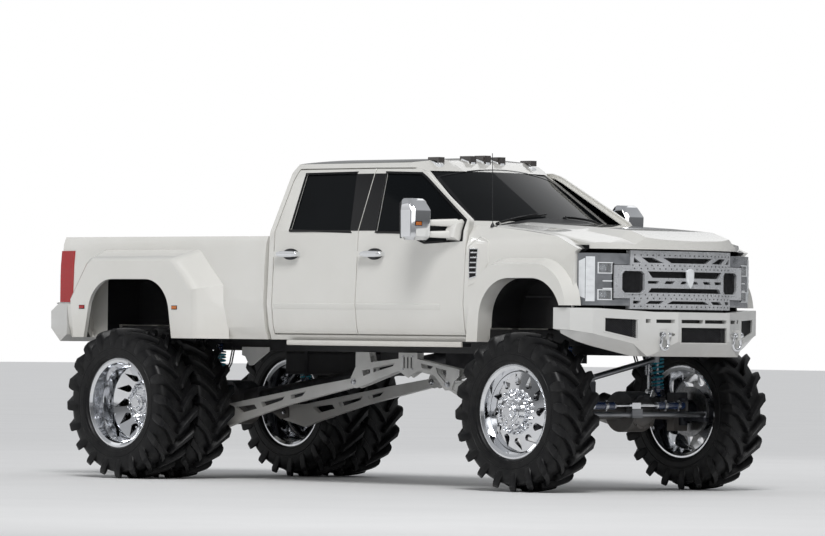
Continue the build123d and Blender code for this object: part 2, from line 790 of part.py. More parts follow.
# Columns: X of the middle, width, height of the lower face
cross_members = [
    (front_x + 640.0, 90.0, 1110.0), (front_x - 2060.0, 80.0, 1130.0), (front_x - 3000.0, 80.0, 1130.0),
    (rear_x + 750.0, 90.0, 1130.0), (rear_x - 450.0, 90.0, 1130.0),
]
receiver_z = 1150.0
with BuildPart() as frame_rails:
    for sign in (1, -1):
        low = min(sign * rail_inner_y, sign * rail_outer_y)
        add(block(rail_rear_x, rail_front_x, low, low + rail_width, rail_bottom_z, rail_top_z))
        outer = sign * (strut_y + coil_radius)
        add(block(
            front_x - 60.0, front_x + 80.0, min(sign * rail_inner_y, outer), max(sign * rail_inner_y, outer),
            strut_top_z, strut_top_z + tower_plate,
        ))
        add(block(
            rear_strut_bottom_x - 70.0, rear_strut_bottom_x + 70.0,
            min(sign * rail_inner_y, sign * (rear_strut_y + 50.0)),
            max(sign * rail_inner_y, sign * (rear_strut_y + 50.0)),
            rear_strut_top_z, rear_strut_top_z + tower_plate,
        ))
    for x, width, z_low in cross_members:
        add(block(
            x - width / 2, x + width / 2, -rail_inner_y - 5.0, rail_inner_y + 5.0, z_low, rail_top_z - 30.0,
        ))
    add(block(rail_rear_x, rail_rear_x + 90.0, -rail_outer_y, rail_outer_y, 1110.0, rail_top_z - 30.0))
    add(block(
        tail_x + 4.0, rail_rear_x + 20.0, -receiver_size / 2, receiver_size / 2,
        receiver_z - receiver_size / 2, receiver_z + receiver_size / 2,
    ))
    add(block(
        tail_x, rail_rear_x - 20.0, -receiver_opening / 2, receiver_opening / 2,
        receiver_z - receiver_opening / 2, receiver_z + receiver_opening / 2,
    ), mode=Mode.SUBTRACT)
    add(rod(
        (tail_x + 64.0, -receiver_size, receiver_z), (tail_x + 64.0, receiver_size, receiver_z),
        hitch_pin_radius,
    ), mode=Mode.SUBTRACT)
write(frame_rails, "frame_rails")

# Engine as a plain block on the rails, gearbox, transfer case and shafts as one driveline
engine_rear_x = front_x - 450.0
engine_front_x = front_x + 400.0
engine_half = 290.0
engine_z_low = rail_bottom_z + 15.0
engine_z_high = rail_top_z + 470.0
with BuildPart() as engine:
    add(block(engine_rear_x, engine_front_x, -engine_half, engine_half, engine_z_low, engine_z_high))
    for sign in (1, -1):
        pad_low = min(sign * rail_inner_y, sign * (engine_half - 10.0))
        pad_high = max(sign * rail_inner_y, sign * (engine_half - 10.0))
        add(block(
            front_x - 80.0, front_x + 40.0, pad_low, pad_high, rail_bottom_z + 60.0, rail_top_z - 50.0,
        ))
write(engine, "engine")

gearbox_half = 170.0
case_right_half = 150.0
case_left_half = diff_y + 80.0
rear_shaft_radius = 62.0
front_shaft_radius = 40.0
with BuildPart() as driveline:
    add(block(
        front_output[0], engine_rear_x, -gearbox_half, gearbox_half, rail_bottom_z - 70.0, rail_top_z - 6.0,
    ))
    add(block(
        rear_output[0], front_output[0], -case_right_half, case_left_half, rail_bottom_z - 140.0,
        rail_top_z - 14.0,
    ))
    add(rod(rear_output, tuple(rear_pinion_end + rear_shaft_way * slip), rear_shaft_radius))
    add(rod(front_output, tuple(front_pinion_end + front_shaft_way * slip), front_shaft_radius))
write(driveline, "driveline")

with BuildPart() as fuel_tank:
    add(block(
        front_x - 3960.0, front_x - 2800.0, 110.0, rail_outer_y - 7.0, rail_bottom_z - 200.0, rail_bottom_z,
    ))
    fillet(fuel_tank.edges().filter_by(Axis.X), radius=30.0)
write(fuel_tank, "fuel_tank")

# Cab shell. Half sections, from the sill up: half width and height.
cab_half_section = [
    (sill_half, sill_z), (rocker_half, rocker_z), (crease_half, crease_z), (belt_half, belt_z),
    (glass_top_half, glass_top_z), (roof_edge_half, roof_edge_z),
]


def inner_half_section(z_low):
    """Inner face of the cab wall, as a half section that starts at a height."""
    return [
        (crease_half - door_thickness, z_low), (crease_half - door_thickness - 8.0, belt_z - 24.0),
        (glass_top_half - pillar_thickness, glass_top_z - 10.0),
        (roof_edge_half - 60.0, roof_edge_z - roof_thickness),
    ]


def section_solid(half_section, crown_z, x_low, x_high):
    """Body section along X: straight sides from a half section, and one arc over the top."""
    right = [(-y, z) for y, z in half_section]
    top_y, top_z = half_section[-1]
    with BuildPart() as solid:
        with BuildSketch(Plane.YZ.offset(x_low)):
            with BuildLine():
                Polyline(*half_section)
                ThreePointArc((top_y, top_z), (0.0, crown_z), (-top_y, top_z))
                Polyline(*reversed(right))
                Line(right[0], half_section[0])
            make_face()
        extrude(amount=x_high - x_low)
    return solid.part


def inset(half_section, amount):
    """The same half section drawn in from the skin by an amount."""
    return [(y - amount, z) for y, z in half_section]


def screen_body(depth):
    """Everything behind the bowed windscreen surface, moved back by a depth."""
    rise = Vector(screen_top_x - screen_base_x, 0, screen_top_z - screen_base_z).normalized()
    out = Vector(rise.Z, 0, -rise.X)
    middle = Vector(screen_base_x, 0, screen_base_z) + out * (34.0 - depth)
    with BuildPart() as body:
        with BuildSketch(Plane(origin=middle - rise * 2600.0, x_dir=(0, 1, 0), z_dir=rise)):
            with Locations((0, screen_bow_radius)):
                Circle(screen_bow_radius)
        extrude(amount=5200.0)
    return body.part


cab_waist_z = roof_z - 319.0


def cab_profile(x_wall, x_screen, top_drop):
    """Side outline of the cab, with its walls drawn in."""
    return [
        (firewall_x - x_screen, sill_z - 5.0), (cab_rear_x + x_wall, sill_z - 5.0),
        (cab_rear_x + x_wall - 4.0, belt_z - 35.0), (cab_rear_x + x_wall + 36.0, cab_waist_z),
        (cab_rear_x + x_wall + 59.0, roof_z - 117.0), (cab_rear_x + x_wall + 100.0, roof_z - 43.0 - top_drop),
        (cab_rear_x + x_wall + 230.0, roof_z + 4.0 - top_drop), (front_x - 1620.0, roof_z + 4.0 - top_drop),
        (front_x - 1470.0, roof_z - 34.0 - top_drop), (screen_top_x, screen_top_z + 6.0 - top_drop),
        (screen_base_x, screen_base_z + 3.0 - top_drop), (cowl_x - x_screen, cowl_z - top_drop),
        (cowl_x - x_screen, 1900.0), (firewall_x - x_screen, 1880.0),
    ]


front_door_outline = [
    (door_front_x, door_bottom_z), (door_seam_x + door_gap / 2, door_bottom_z),
    (door_seam_x + door_gap / 2, door_top_z),
    (front_x - 1440.0, door_top_z - 4.0), (front_x - 1355.0, door_top_z - 30.0), (front_x - 716.0, 2186.0),
    (door_front_x, 2160.0),
]
rear_door_outline = [
    (door_seam_x - door_gap / 2, door_bottom_z), (door_rear_x, door_bottom_z), (door_rear_x, belt_z),
    (door_rear_x + 48.0, door_top_z - 96.0), (door_rear_x + 80.0, door_top_z),
    (door_seam_x - door_gap / 2, door_top_z),
]
front_window = from_axle(front_x, [
    (-1742.0, 2082.0), (-1811.0, window_top_z), (-1400.0, window_top_z - 12.0),
    (-1332.0, window_top_z - 46.0),
    (-742.0, 2160.0), (-752.0, 2010.0),
    (-1171.0, 1990.0), (-1420.0, 2072.0),
])
rear_window = from_axle(front_x, [
    (-2766.0, 2100.0), (-2764.0, window_top_z - 4.0), (-2166.0, window_top_z + 2.0), (-2048.0, 2082.0),
])
b_pillar_low = door_seam_x - b_pillar_width / 2
b_pillar_high = door_seam_x + b_pillar_width / 2
side_low = 560.0
side_high = crease_half + 40.0
pocket_depth = skin_thickness + door_gap / 2


band_low = cab_rear_x - 20.0
band_high = firewall_x + 20.0
band_floor = sill_z - 20.0


def side_wall(depth):
    """Left wall of the cab, from a depth below the skin to the inner face."""
    with BuildPart() as wall:
        add(section_solid(inset(cab_half_section, depth), roof_z - depth, band_low, band_high))
        add(section_solid(inner_half_section(band_floor), roof_z - roof_thickness, band_low, band_high),
            mode=Mode.SUBTRACT)
        add(block(band_low, band_high, side_low, side_high, band_floor, roof_z), mode=Mode.INTERSECT)
    return wall.part


def side_layer(depth_out, depth_in):
    """Layer of the left side between two depths below the skin."""
    with BuildPart() as layer:
        add(section_solid(inset(cab_half_section, depth_out), roof_z - depth_out, band_low, band_high))
        add(section_solid(inset(cab_half_section, depth_in), roof_z - depth_in, band_low, band_high),
            mode=Mode.SUBTRACT)
        add(block(
            band_low, band_high, side_low, side_high, sill_z + 5.0, roof_edge_z - 10.0,
        ), mode=Mode.INTERSECT)
    return layer.part


def b_pillar_zone(margin):
    """Upright block round the post between the doors."""
    return block(
        b_pillar_low - margin, b_pillar_high + margin, side_low, side_high, door_bottom_z - 40.0,
        door_top_z + 30.0,
    )


pocket = side_layer(-20.0, pocket_depth)
skin_layer = side_layer(0.0, skin_thickness)
outer_wall = side_wall(-20.0)
core_wall = side_wall(skin_thickness)
post_wall = side_wall(pocket_depth)

door_cuts = []
for outline in (front_door_outline, rear_door_outline):
    with BuildPart() as skin_cut:
        add(pocket)
        add(grown(outline, door_gap, side_low, side_high), mode=Mode.INTERSECT)
    with BuildPart() as core_cut:
        add(outer_wall)
        add(grown(outline, door_gap - door_lap, side_low, side_high), mode=Mode.INTERSECT)
    door_cuts += [skin_cut.part, core_cut.part]
with BuildPart() as door_cut:
    for cut in door_cuts:
        add(cut)

with BuildPart() as b_pillar:
    add(post_wall)
    add(b_pillar_zone(0.0), mode=Mode.INTERSECT)

screen_low_half = cowl_half - 42.0
screen_high_half = glass_top_half - 128.0
screen_outline = [
    (-screen_low_half, screen_base_z + 12.0), (screen_low_half, screen_base_z + 12.0),
    (screen_high_half, screen_top_z - 18.0), (-screen_high_half, screen_top_z - 18.0),
]
rear_glass_half = belt_half - 395.0
rear_glass_outline = [
    (-rear_glass_half, belt_z + 50.0), (rear_glass_half, belt_z + 50.0),
    (rear_glass_half - 30.0, roof_z - 198.0), (30.0 - rear_glass_half, roof_z - 198.0),
]


def shrunk_front_prism(outline, amount, x_low, x_high):
    """Solid of a Y-Z outline drawn in by an amount."""
    with BuildPart() as prism:
        with BuildSketch(Plane.YZ.offset(x_low)):
            with BuildLine():
                Polyline(*outline, close=True)
            make_face()
            offset(amount=-amount, kind=Kind.INTERSECTION)
        extrude(amount=x_high - x_low)
    return prism.part


with BuildPart() as cavity:
    add(section_solid(
        inner_half_section(floor_z + floor_thickness), roof_z - roof_thickness, cab_rear_x, cowl_x,
    ))
    add(side_prism(cab_profile(62.0, 60.0, 46.0), -crease_half, crease_half), mode=Mode.INTERSECT)
    add(screen_body(52.0), mode=Mode.INTERSECT)

with BuildPart() as screen_front:
    add(block(screen_top_x - 300.0, cowl_x + 40.0, -crease_half, crease_half, cowl_z, roof_z + 20.0))
    add(screen_body(0), mode=Mode.SUBTRACT)

with BuildPart() as cab:
    add(section_solid(cab_half_section, roof_z, cab_rear_x - 10.0, cowl_x + 10.0))
    add(side_prism(cab_profile(0, 0, 0), -crease_half - 10.0, crease_half + 10.0), mode=Mode.INTERSECT)
    add(screen_front.part, mode=Mode.SUBTRACT)
    add(cavity.part, mode=Mode.SUBTRACT)
    add(block(cab_rear_x - 10.0, cowl_x + 10.0, -790.0, 790.0, sill_z - 10.0, floor_z), mode=Mode.SUBTRACT)
    for sign in (1, -1):
        corner = sign * (crease_half + 20.0)
        add(block(
            door_front_x - door_gap, cowl_x + 20.0, min(sign * cowl_half, corner),
            max(sign * cowl_half, corner),
            sill_z - 10.0, roof_z,
        ), mode=Mode.SUBTRACT)
    add(door_cut.part, mode=Mode.SUBTRACT)
    add(mirrored(door_cut.part), mode=Mode.SUBTRACT)
    add(b_pillar.part)
    add(mirrored(b_pillar.part))
    add(front_prism(screen_outline, screen_top_x - 90.0, cowl_x + 20.0), mode=Mode.SUBTRACT)
    add(front_prism(rear_glass_outline, cab_rear_x - 20.0, cab_rear_x + 140.0), mode=Mode.SUBTRACT)
    for offset_x in body_mounts:
        for sign in (1, -1):
            mount_y = sign * (rail_inner_y + rail_outer_y) / 2
            add(rod((front_x + offset_x, mount_y, rail_top_z), (front_x + offset_x, mount_y, floor_z), 30.0))
    for sign in (1, -1):
        start = (hood_hinge_x, sign * (hood_hinge_y - hood_lug_half), hood_hinge_z)
        end = (hood_hinge_x, sign * (hood_hinge_y + hood_lug_half), hood_hinge_z)
        low = min(start[1], end[1])
        add(rod(start, end, hood_lug_radius))
        add(block(
            cowl_x - 10.0, hood_hinge_x, low, low + 2 * hood_lug_half, hood_hinge_z - 24.0,
            hood_hinge_z - 4.0,
        ))
        add(rod(start, end, hood_pin_radius + slip), mode=Mode.SUBTRACT)
write(cab, "cab")

with BuildPart() as windshield:
    add(section_solid(cab_half_section, roof_z, cab_rear_x + 400.0, cowl_x))
    add(screen_body(8.0), mode=Mode.INTERSECT)
    add(screen_body(8.0 + glass_thickness), mode=Mode.SUBTRACT)
    add(shrunk_front_prism(screen_outline, slip, screen_top_x - 90.0, cowl_x + 20.0), mode=Mode.INTERSECT)
write(windshield, "windshield")

with BuildPart() as rear_glass:
    add(side_prism([
        (cab_rear_x + 10.0, belt_z - 35.0), (cab_rear_x + 50.0, cab_waist_z),
        (cab_rear_x + 73.0, roof_z - 117.0),
        (cab_rear_x + 73.0 + glass_thickness, roof_z - 117.0),
        (cab_rear_x + 50.0 + glass_thickness, cab_waist_z),
        (cab_rear_x + 10.0 + glass_thickness, belt_z - 35.0),
    ], -crease_half, crease_half))
    add(shrunk_front_prism(
        rear_glass_outline, slip, cab_rear_x - 20.0, cab_rear_x + 140.0,
    ), mode=Mode.INTERSECT)
write(rear_glass, "rear_glass")

# Doors with their side glass. Columns: place, outline, window, X of the handle's middle
handle_z = 1893.0
handle_half = 118.0
door_table = [
    ("front", front_door_outline, front_window, front_x - 1775.0),
    ("rear", rear_door_outline, rear_window, front_x - 2775.0),
]
window_layer = side_layer(14.0, 14.0 + glass_thickness)
for place, outline, window, handle_x in door_table:
    with BuildPart() as skin:
        add(skin_layer)
        add(grown(outline, 0.0, side_low, side_high), mode=Mode.INTERSECT)
    with BuildPart() as core:
        add(core_wall)
        add(grown(outline, -door_lap, side_low, side_high), mode=Mode.INTERSECT)
        add(b_pillar_zone(door_gap), mode=Mode.SUBTRACT)
    with BuildPart() as left_door:
        add(skin.part)
        add(core.part)
        add(side_prism(window, side_low, side_high), mode=Mode.SUBTRACT)
        for end in (-1, 1):
            x = handle_x + end * (handle_half - 20.0)
            add(block(
                x - 16.0, x + 16.0, belt_half - 10.0, crease_half + 30.0, handle_z - 14.0, handle_z + 14.0,
            ))
        add(block(
            handle_x - handle_half, handle_x + handle_half, crease_half + 22.0, crease_half + 40.0,
            handle_z - 22.0, handle_z + 22.0,
        ))
    with BuildPart() as left_glass:
        add(window_layer)
        add(grown(window, -slip, side_low, side_high), mode=Mode.INTERSECT)
    write(left_door, f"door_{place}_left")
    write(left_glass, f"glass_{place}_left")
    with BuildPart() as right_door:
        add(mirrored(left_door.part))
    write(right_door, f"door_{place}_right")
    with BuildPart() as right_glass:
        add(mirrored(left_glass.part))
    write(right_glass, f"glass_{place}_right")

# Towing mirrors: foot on the front door, two telescoping arms and the head
mirror_head = (front_x - 1115.0, front_x - 945.0, crease_half + 116.0, crease_half + 326.0, 1998.0, 2334.0)
mirror_foot_outline = from_axle(
    front_x, [(-870.0, 2010.0), (-760.0, 2000.0), (-760.0, 2168.0), (-850.0, 2150.0)],
)
with BuildPart() as mirror_foot:
    add(side_prism(mirror_foot_outline, belt_half - 60.0, belt_half + 44.0))
    add(section_solid(inset(cab_half_section, -slip), roof_z + slip, band_low, band_high), mode=Mode.SUBTRACT)
with BuildPart() as mirror_left:
    add(block(*mirror_head))
    fillet(mirror_left.edges(), radius=34.0)
    for z in (2050.0, 2130.0):
        add(rod((front_x - 815.0, belt_half + 20.0, z), (front_x - 960.0, crease_half + 144.0, z), 19.0))
    add(mirror_foot.part)
write(mirror_left, "mirror_left")
with BuildPart() as mirror_right:
    add(mirrored(mirror_left.part))
write(mirror_right, "mirror_right")

# Seats and dashboard with its wheel
seat_z = floor_z + floor_thickness
front_seat_y = 400.0
front_seat_half = 260.0
headrest_half = 130.0
bench_half = 700.0
column_radius = 34.0
steering_wheel_radius = 190.0
steering_wheel_rim = 32.0
with BuildPart() as seats:
    for middle_y in (-front_seat_y, front_seat_y):
        add(side_prism(from_axle(front_x, [
            (-1880.0, seat_z), (-1400.0, seat_z), (-1340.0, seat_z + 330.0), (-1420.0, seat_z + 400.0),
            (-1860.0, seat_z + 370.0), (-1990.0, seat_z + 960.0), (-2090.0, seat_z + 950.0),
            (-1980.0, seat_z + 250.0),
        ]), middle_y - front_seat_half, middle_y + front_seat_half))
        add(block(
            front_x - 2100.0, front_x - 2000.0, middle_y - headrest_half, middle_y + headrest_half,
            seat_z + 940.0, seat_z + 1110.0,
        ))
    add(side_prism(from_axle(front_x, [
        (-2860.0, seat_z), (-2420.0, seat_z), (-2370.0, seat_z + 330.0), (-2440.0, seat_z + 390.0),
        (-2780.0, seat_z + 360.0), (-2850.0, seat_z + 900.0), (-2905.0, seat_z + 900.0),
        (-2925.0, seat_z + 400.0),
        (-2925.0, seat_z),
    ]), -bench_half, bench_half))
write(seats, "seats")

with BuildPart() as dashboard:
    add(side_prism(from_axle(front_x, [
        (-700.0, 1650.0), (-900.0, 1700.0), (-1080.0, 1880.0), (-1090.0, 1980.0), (-1020.0, 2040.0),
        (-760.0, 2050.0),
        (-700.0, 2010.0),
    ]), 136.0 - crease_half, crease_half - 136.0))
    add(screen_body(64.0), mode=Mode.INTERSECT)
    column_start = Vector(front_x - 1000.0, front_seat_y, 1860.0)
    column_end = Vector(front_x - 1230.0, front_seat_y, 1950.0)
    add(rod(tuple(column_start), tuple(column_end), column_radius))
    with BuildSketch(Plane(origin=column_end, z_dir=column_end - column_start)):
        Circle(steering_wheel_radius)
        Circle(steering_wheel_radius - steering_wheel_rim, mode=Mode.SUBTRACT)
        Rectangle(2 * steering_wheel_radius - steering_wheel_rim, 44.0)
    extrude(amount=30.0)
write(dashboard, "dashboard")

# Hood: ruled loft of crowned sections with a raised middle, trimmed to a bowed nose.
# Columns: distance from the front axle, narrowing of the half width, edge, shoulder and dome heights
hood_sections = [
    (-515.0, 26.0, 2118.0, 2142.0, 2158.0),
    (200.0, 0.0, 2052.0, 2084.0, 2118.0),
    (640.0, 6.0, 1972.0, 2022.0, 2086.0),
    (900.0, 32.0, 1880.0, 1936.0, 2002.0),
]
dome_outer = hood_half - 297.0
dome_inner = hood_half - 392.0


def hood_form(drop, narrow):
    """Hood volume between its sections, lowered and narrowed by a wall."""
    with BuildPart() as form:
        for x, narrowing, edge, shoulder, dome in hood_sections:
            half = hood_half - narrowing
            with BuildSketch(Plane.YZ.offset(front_x + x)):
                with BuildLine():
                    Polyline(
                        (narrow - half, edge - 400.0), (half - narrow, edge - 400.0),
                        (half - narrow, edge - drop - 12.0),
                        (half - narrow - 40.0, edge - drop + 6.0), (dome_outer - narrow, shoulder - drop),
                        (dome_inner - narrow, dome - drop), (narrow - dome_inner, dome - drop),
                        (narrow - dome_outer, shoulder - drop), (narrow + 40.0 - half, edge - drop + 6.0),
                        (narrow - half, edge - drop - 12.0), close=True,
                    )
                make_face()
        loft(ruled=True)
    return form.part


hood_plan = [
    (hood_rear_x, -hood_half), (hood_rear_x, hood_half), (front_x + 566.0, hood_half),
    (front_x + 624.0, hood_half - 72.0), (front_x + 776.0, hood_half - 272.0), (front_x + 868.0, 330.0),
    (front_x + 888.0, 0.0), (front_x + 868.0, -330.0), (front_x + 776.0, 272.0 - hood_half),
    (front_x + 624.0, 72.0 - hood_half), (front_x + 566.0, -hood_half),
]
hood_under = from_axle(front_x, [
    (-515.0, 2060.0), (200.0, 1990.0), (520.0, grille_z_high + 10.0), (900.0, grille_z_high + 10.0),
    (900.0, 2300.0), (-515.0, 2300.0),
])
with BuildPart() as hood_inside:
    add(hood_form(hood_thickness, hood_thickness))
    add(block(hood_rear_x + hood_thickness, front_x + 590.0, -hood_half, hood_half, 1500.0, 2300.0),
        mode=Mode.INTERSECT)
with BuildPart() as hood:
    add(hood_form(0, 0))
    add(plan_prism(hood_plan, 1500.0, 2300.0), mode=Mode.INTERSECT)
    add(side_prism(hood_under, -hood_half, hood_half), mode=Mode.INTERSECT)
    add(hood_inside.part, mode=Mode.SUBTRACT)
    for sign in (1, -1):
        low = sign * hood_hinge_y - hood_lug_half - 5.0
        high = sign * hood_hinge_y + hood_lug_half + 5.0
        notch = hood_lug_radius + 1.5
        add(block(
            hood_hinge_x - 1.0, hood_hinge_x + notch, low, high, hood_hinge_z - 30.0, hood_hinge_z + notch,
        ),
            mode=Mode.SUBTRACT)
        add(rod(
            (hood_hinge_x, low - 6.0, hood_hinge_z), (hood_hinge_x, high + 6.0, hood_hinge_z),
            hood_pin_radius,
        ))
write(hood, "hood")

# Front fenders: wall with a top shelf along the hood seam, wheel arch and tapered flare
fender_rear_x = door_front_x + door_gap
shelf_half = hood_half + hood_seam
fender_half_section = [
    (sill_half, sill_z), (rocker_half, rocker_z), (crease_half, crease_z), (crease_half - 12.0, 1800.0),
    (crease_half - 28.0, 1950.0), (crease_half - 58.0, 2040.0), (shelf_half + 20.0, 2126.0),
]
fender_outline = from_axle(front_x, [
    (fender_rear_x - front_x, sill_z), (0.0, sill_z), (0.0, bumper_top_z + 6.0), (524.0, bumper_top_z + 6.0),
    (524.0, 1905.0), (560.0, 1932.0), (300.0, 2032.0), (-100.0, 2080.0), (-540.0, 2118.0),
    (fender_rear_x - front_x, 2128.0),
])
arch_outline_front = from_axle(front_x, [
    (-456.0, 1100.0), (-418.0, arch_top_z), (432.0, arch_top_z), (520.0, 1100.0),
])
liner_outline = from_axle(front_x, [
    (-456.0 - liner_thickness, 1100.0), (-418.0 - liner_thickness, arch_top_z + liner_thickness),
    (432.0 + liner_thickness, arch_top_z + liner_thickness), (520.0 + liner_thickness, 1100.0),
])
flare_outline = from_axle(front_x, [(-640.0, 1100.0), (-566.0, 1868.0), (520.0, 1868.0), (640.0, 1100.0)])
arch_fillet = 330.0
flare_fillet = 400.0


def arch_prism(outline, radius, y_low, y_high, taper_angle):
    """Arch-shaped solid: an X-Z outline with its two top corners rounded, extruded outward."""
    with BuildPart() as arch:
        with BuildSketch(Plane(origin=(0, y_low, 0), x_dir=(-1, 0, 0), z_dir=(0, 1, 0))):
            with BuildLine():
                Polyline(*[(-x, z) for x, z in outline], close=True)
            face = make_face()
            fillet(face.vertices().group_by(Axis.Y)[-1], radius=radius)
        extrude(amount=y_high - y_low, taper=taper_angle)
    return arch.part


def half_section_prism(half_section, y_inner, x_low, x_high):
    """Left-hand solid between a plane at y_inner and a half section."""
    top_z = half_section[-1][1]
    return front_prism([(y_inner, half_section[0][1]), *half_section, (y_inner, top_z)], x_low, x_high)


liner_outer_half = crease_half - fender_wall + 4.0
with BuildPart() as liner:
    add(arch_prism(liner_outline, arch_fillet + liner_thickness, liner_inner_half, liner_outer_half, 0))
    add(arch_prism(
        arch_outline_front, arch_fillet, liner_inner_half + liner_thickness, liner_outer_half + 10.0, 0,
    ),
        mode=Mode.SUBTRACT)
    add(block(front_x - 800.0, front_x + 800.0, 500.0, 1200.0, 900.0, rail_top_z + 10.0), mode=Mode.SUBTRACT)

with BuildPart() as fender_left:
    add(half_section_prism(fender_half_section, shelf_half, fender_rear_x, front_x + 700.0))
    add(side_prism(fender_outline, 500.0, crease_half + 5.0), mode=Mode.INTERSECT)
    add(block(
        front_x - 640.0, front_x + 470.0, 500.0, crease_half - fender_wall, 1000.0, 1940.0,
    ), mode=Mode.SUBTRACT)
    add(arch_prism(flare_outline, flare_fillet, crease_half - 40.0, flare_half, 24.0))
    add(block(
        fender_rear_x - 200.0, front_x + 800.0, 500.0, flare_half + 50.0, 900.0, sill_z,
    ), mode=Mode.SUBTRACT)
    add(block(
        front_x, front_x + 800.0, 500.0, flare_half + 50.0, 900.0, bumper_top_z + 6.0,
    ), mode=Mode.SUBTRACT)
    add(arch_prism(arch_outline_front, arch_fillet, 400.0, flare_half + 50.0, 0), mode=Mode.SUBTRACT)
    add(liner.part)
    add(block(fender_rear_x + 4.0, firewall_x - 12.0, cowl_half, shelf_half + 10.0, 1500.0, 1560.0))
write(fender_left, "fender_left")
with BuildPart() as fender_right:
    add(mirrored(fender_left.part))
write(fender_right, "fender_right")

# Front end: radiator on the rails, bowed grille, lamps round the corners, plate bumper
radiator_front_x = front_x + 690.0
lamp_tab_places = [ear_z_low - 50.0, ear_z_high + 32.0]
with BuildPart() as radiator:
    add(block(
        radiator_front_x - 90.0, radiator_front_x, 22.0 - grille_half, grille_half - 22.0,
        rail_top_z, grille_z_high - 45.0,
    ))
    for z in lamp_tab_places:
        add(block(
            radiator_front_x - 70.0, radiator_front_x - 20.0, -lamp_inner_y, lamp_inner_y, z, z + 40.0,
        ))
write(radiator, "radiator")

grille_bow = 100.0
grille_depth = 48.0


def bowed_slab(x_side, bow, half, depth, z_low, z_high):
    """Slab whose front and back are arcs, bowed forward in plan."""
    with BuildPart() as slab:
        with BuildSketch(Plane.XY.offset(z_low)):
            with BuildLine():
                ThreePointArc((x_side, -half), (x_side + bow, 0.0), (x_side, half))
                Line((x_side, half), (x_side - depth, half))
                ThreePointArc((x_side - depth, half), (x_side + bow - depth, 0.0), (x_side - depth, -half))
                Line((x_side - depth, -half), (x_side, -half))
            make_face()
        extrude(amount=z_high - z_low)
    return slab.part


# Openings of the grille. Columns: low and high Z above its lower edge, then as shares of its half
# width the inner and outer Y along the low edge and the inner and outer Y along the high edge.
# A row whose inner Y is negative spans the middle, the others come in mirrored pairs.
grille_openings = [
    (367.0, 409.0, 0.845, 0.950, 0.946, 0.950),
    (367.0, 409.0, 0.481, 0.722, 0.663, 0.832),
    (367.0, 409.0, -0.344, 0.344, -0.490, 0.490),
    (249.0, 300.0, -0.663, 0.663, -0.735, 0.735),
    (202.0, 224.0, 0.572, 0.734, 0.553, 0.734),
    (202.0, 224.0, 0.311, 0.464, 0.280, 0.435),
    (202.0, 224.0, 0.069, 0.180, 0.038, 0.148),
    (131.0, 167.0, -0.732, 0.732, -0.677, 0.677),
    (42.0, 66.0, 0.869, 0.955, 0.838, 0.955),
    (42.0, 66.0, 0.521, 0.766, 0.471, 0.703),
    (42.0, 66.0, -0.421, 0.421, -0.326, 0.326),
]
panel_inner_y = grille_half * 0.789
panel_outer_y = ear_half - 75.0
panel_z_low = ear_z_low + 45.0
panel_z_high = ear_z_high - 46.0
panel_corner = 24.0
panel_outline = [
    (panel_inner_y + panel_corner, panel_z_low), (panel_outer_y - panel_corner, panel_z_low),
    (panel_outer_y, panel_z_low + panel_corner), (panel_outer_y, panel_z_high - panel_corner),
    (panel_outer_y - panel_corner, panel_z_high), (panel_inner_y + panel_corner, panel_z_high),
    (panel_inner_y, panel_z_high - panel_corner), (panel_inner_y, panel_z_low + panel_corner),
]
ear_plan = [
    (grille_x + 7.0, grille_half - 22.0), (grille_x - 22.0, ear_half),
    (grille_x - 22.0 - grille_depth, ear_half), (grille_x + 7.0 - grille_depth, grille_half - 22.0),
]


def grille_cut(outline):
    """Cut through the whole depth of the grille."""
    return front_prism(outline, radiator_front_x - 40.0, grille_x + 2 * grille_bow)


with BuildPart() as grille:
    add(bowed_slab(grille_x, grille_bow, grille_half, grille_depth, grille_z_low, grille_z_high))
    ear = plan_prism(ear_plan, ear_z_low, ear_z_high)
    panel = grille_cut(panel_outline)
    for half in (ear, mirrored(ear)):
        add(half)
    for half in (panel, mirrored(panel)):
        add(half, mode=Mode.SUBTRACT)
    for z_low, z_high, low_inner, low_outer, high_inner, high_outer in grille_openings:
        cut = grille_cut([
            (low_inner * grille_half, grille_z_low + z_low), (low_outer * grille_half, grille_z_low + z_low),
            (high_outer * grille_half, grille_z_low + z_high),
            (high_inner * grille_half, grille_z_low + z_high),
        ])
        add(cut, mode=Mode.SUBTRACT)
        if low_inner > 0:
            add(mirrored(cut), mode=Mode.SUBTRACT)
    add(block(radiator_front_x, grille_x + 60.0, -100.0, 100.0, grille_z_low, grille_z_low + 24.0))
write(grille, "grille")

# Headlamps: housing round the corner, notched for the grille's ear, with two square pockets
lamp_outer_y = crease_half - 46.0
lamp_plan = [
    (front_x + 540.0, lamp_inner_y), (grille_x - 4.0, lamp_inner_y), (front_x + 706.0, ear_half - 1.0),
    (front_x + 648.0, lamp_outer_y - 80.0), (front_x + 600.0, lamp_outer_y - 20.0),
    (front_x + 530.0, lamp_outer_y), (front_x + 530.0, lamp_outer_y - 70.0),
]
lamp_z_low = bumper_top_z + 6.0
lamp_z_high = 1900.0
lamp_pocket_inner_y = ear_half + 15.0
lamp_pocket_outer_y = lamp_outer_y - 107.0
# Columns: low and high Z of each square lamp
lamp_pockets = [(1536.0, 1606.0), (1745.0, 1821.0)]
with BuildPart() as left_lamp:
    add(plan_prism(lamp_plan, lamp_z_low + 2.0, lamp_z_high))
    add(block(
        front_x + 500.0, grille_x + 50.0, lamp_inner_y - 10.0, ear_half + lamp_gap,
        ear_z_low - lamp_gap, ear_z_high + lamp_gap,
    ), mode=Mode.SUBTRACT)
    for z_low, z_high in lamp_pockets:
        add(block(front_x + 632.0, grille_x, lamp_pocket_inner_y, lamp_pocket_outer_y, z_low, z_high),
            mode=Mode.SUBTRACT)
with BuildPart() as headlamps:
    add(left_lamp.part)
    add(mirrored(left_lamp.part))
write(headlamps, "headlamps")

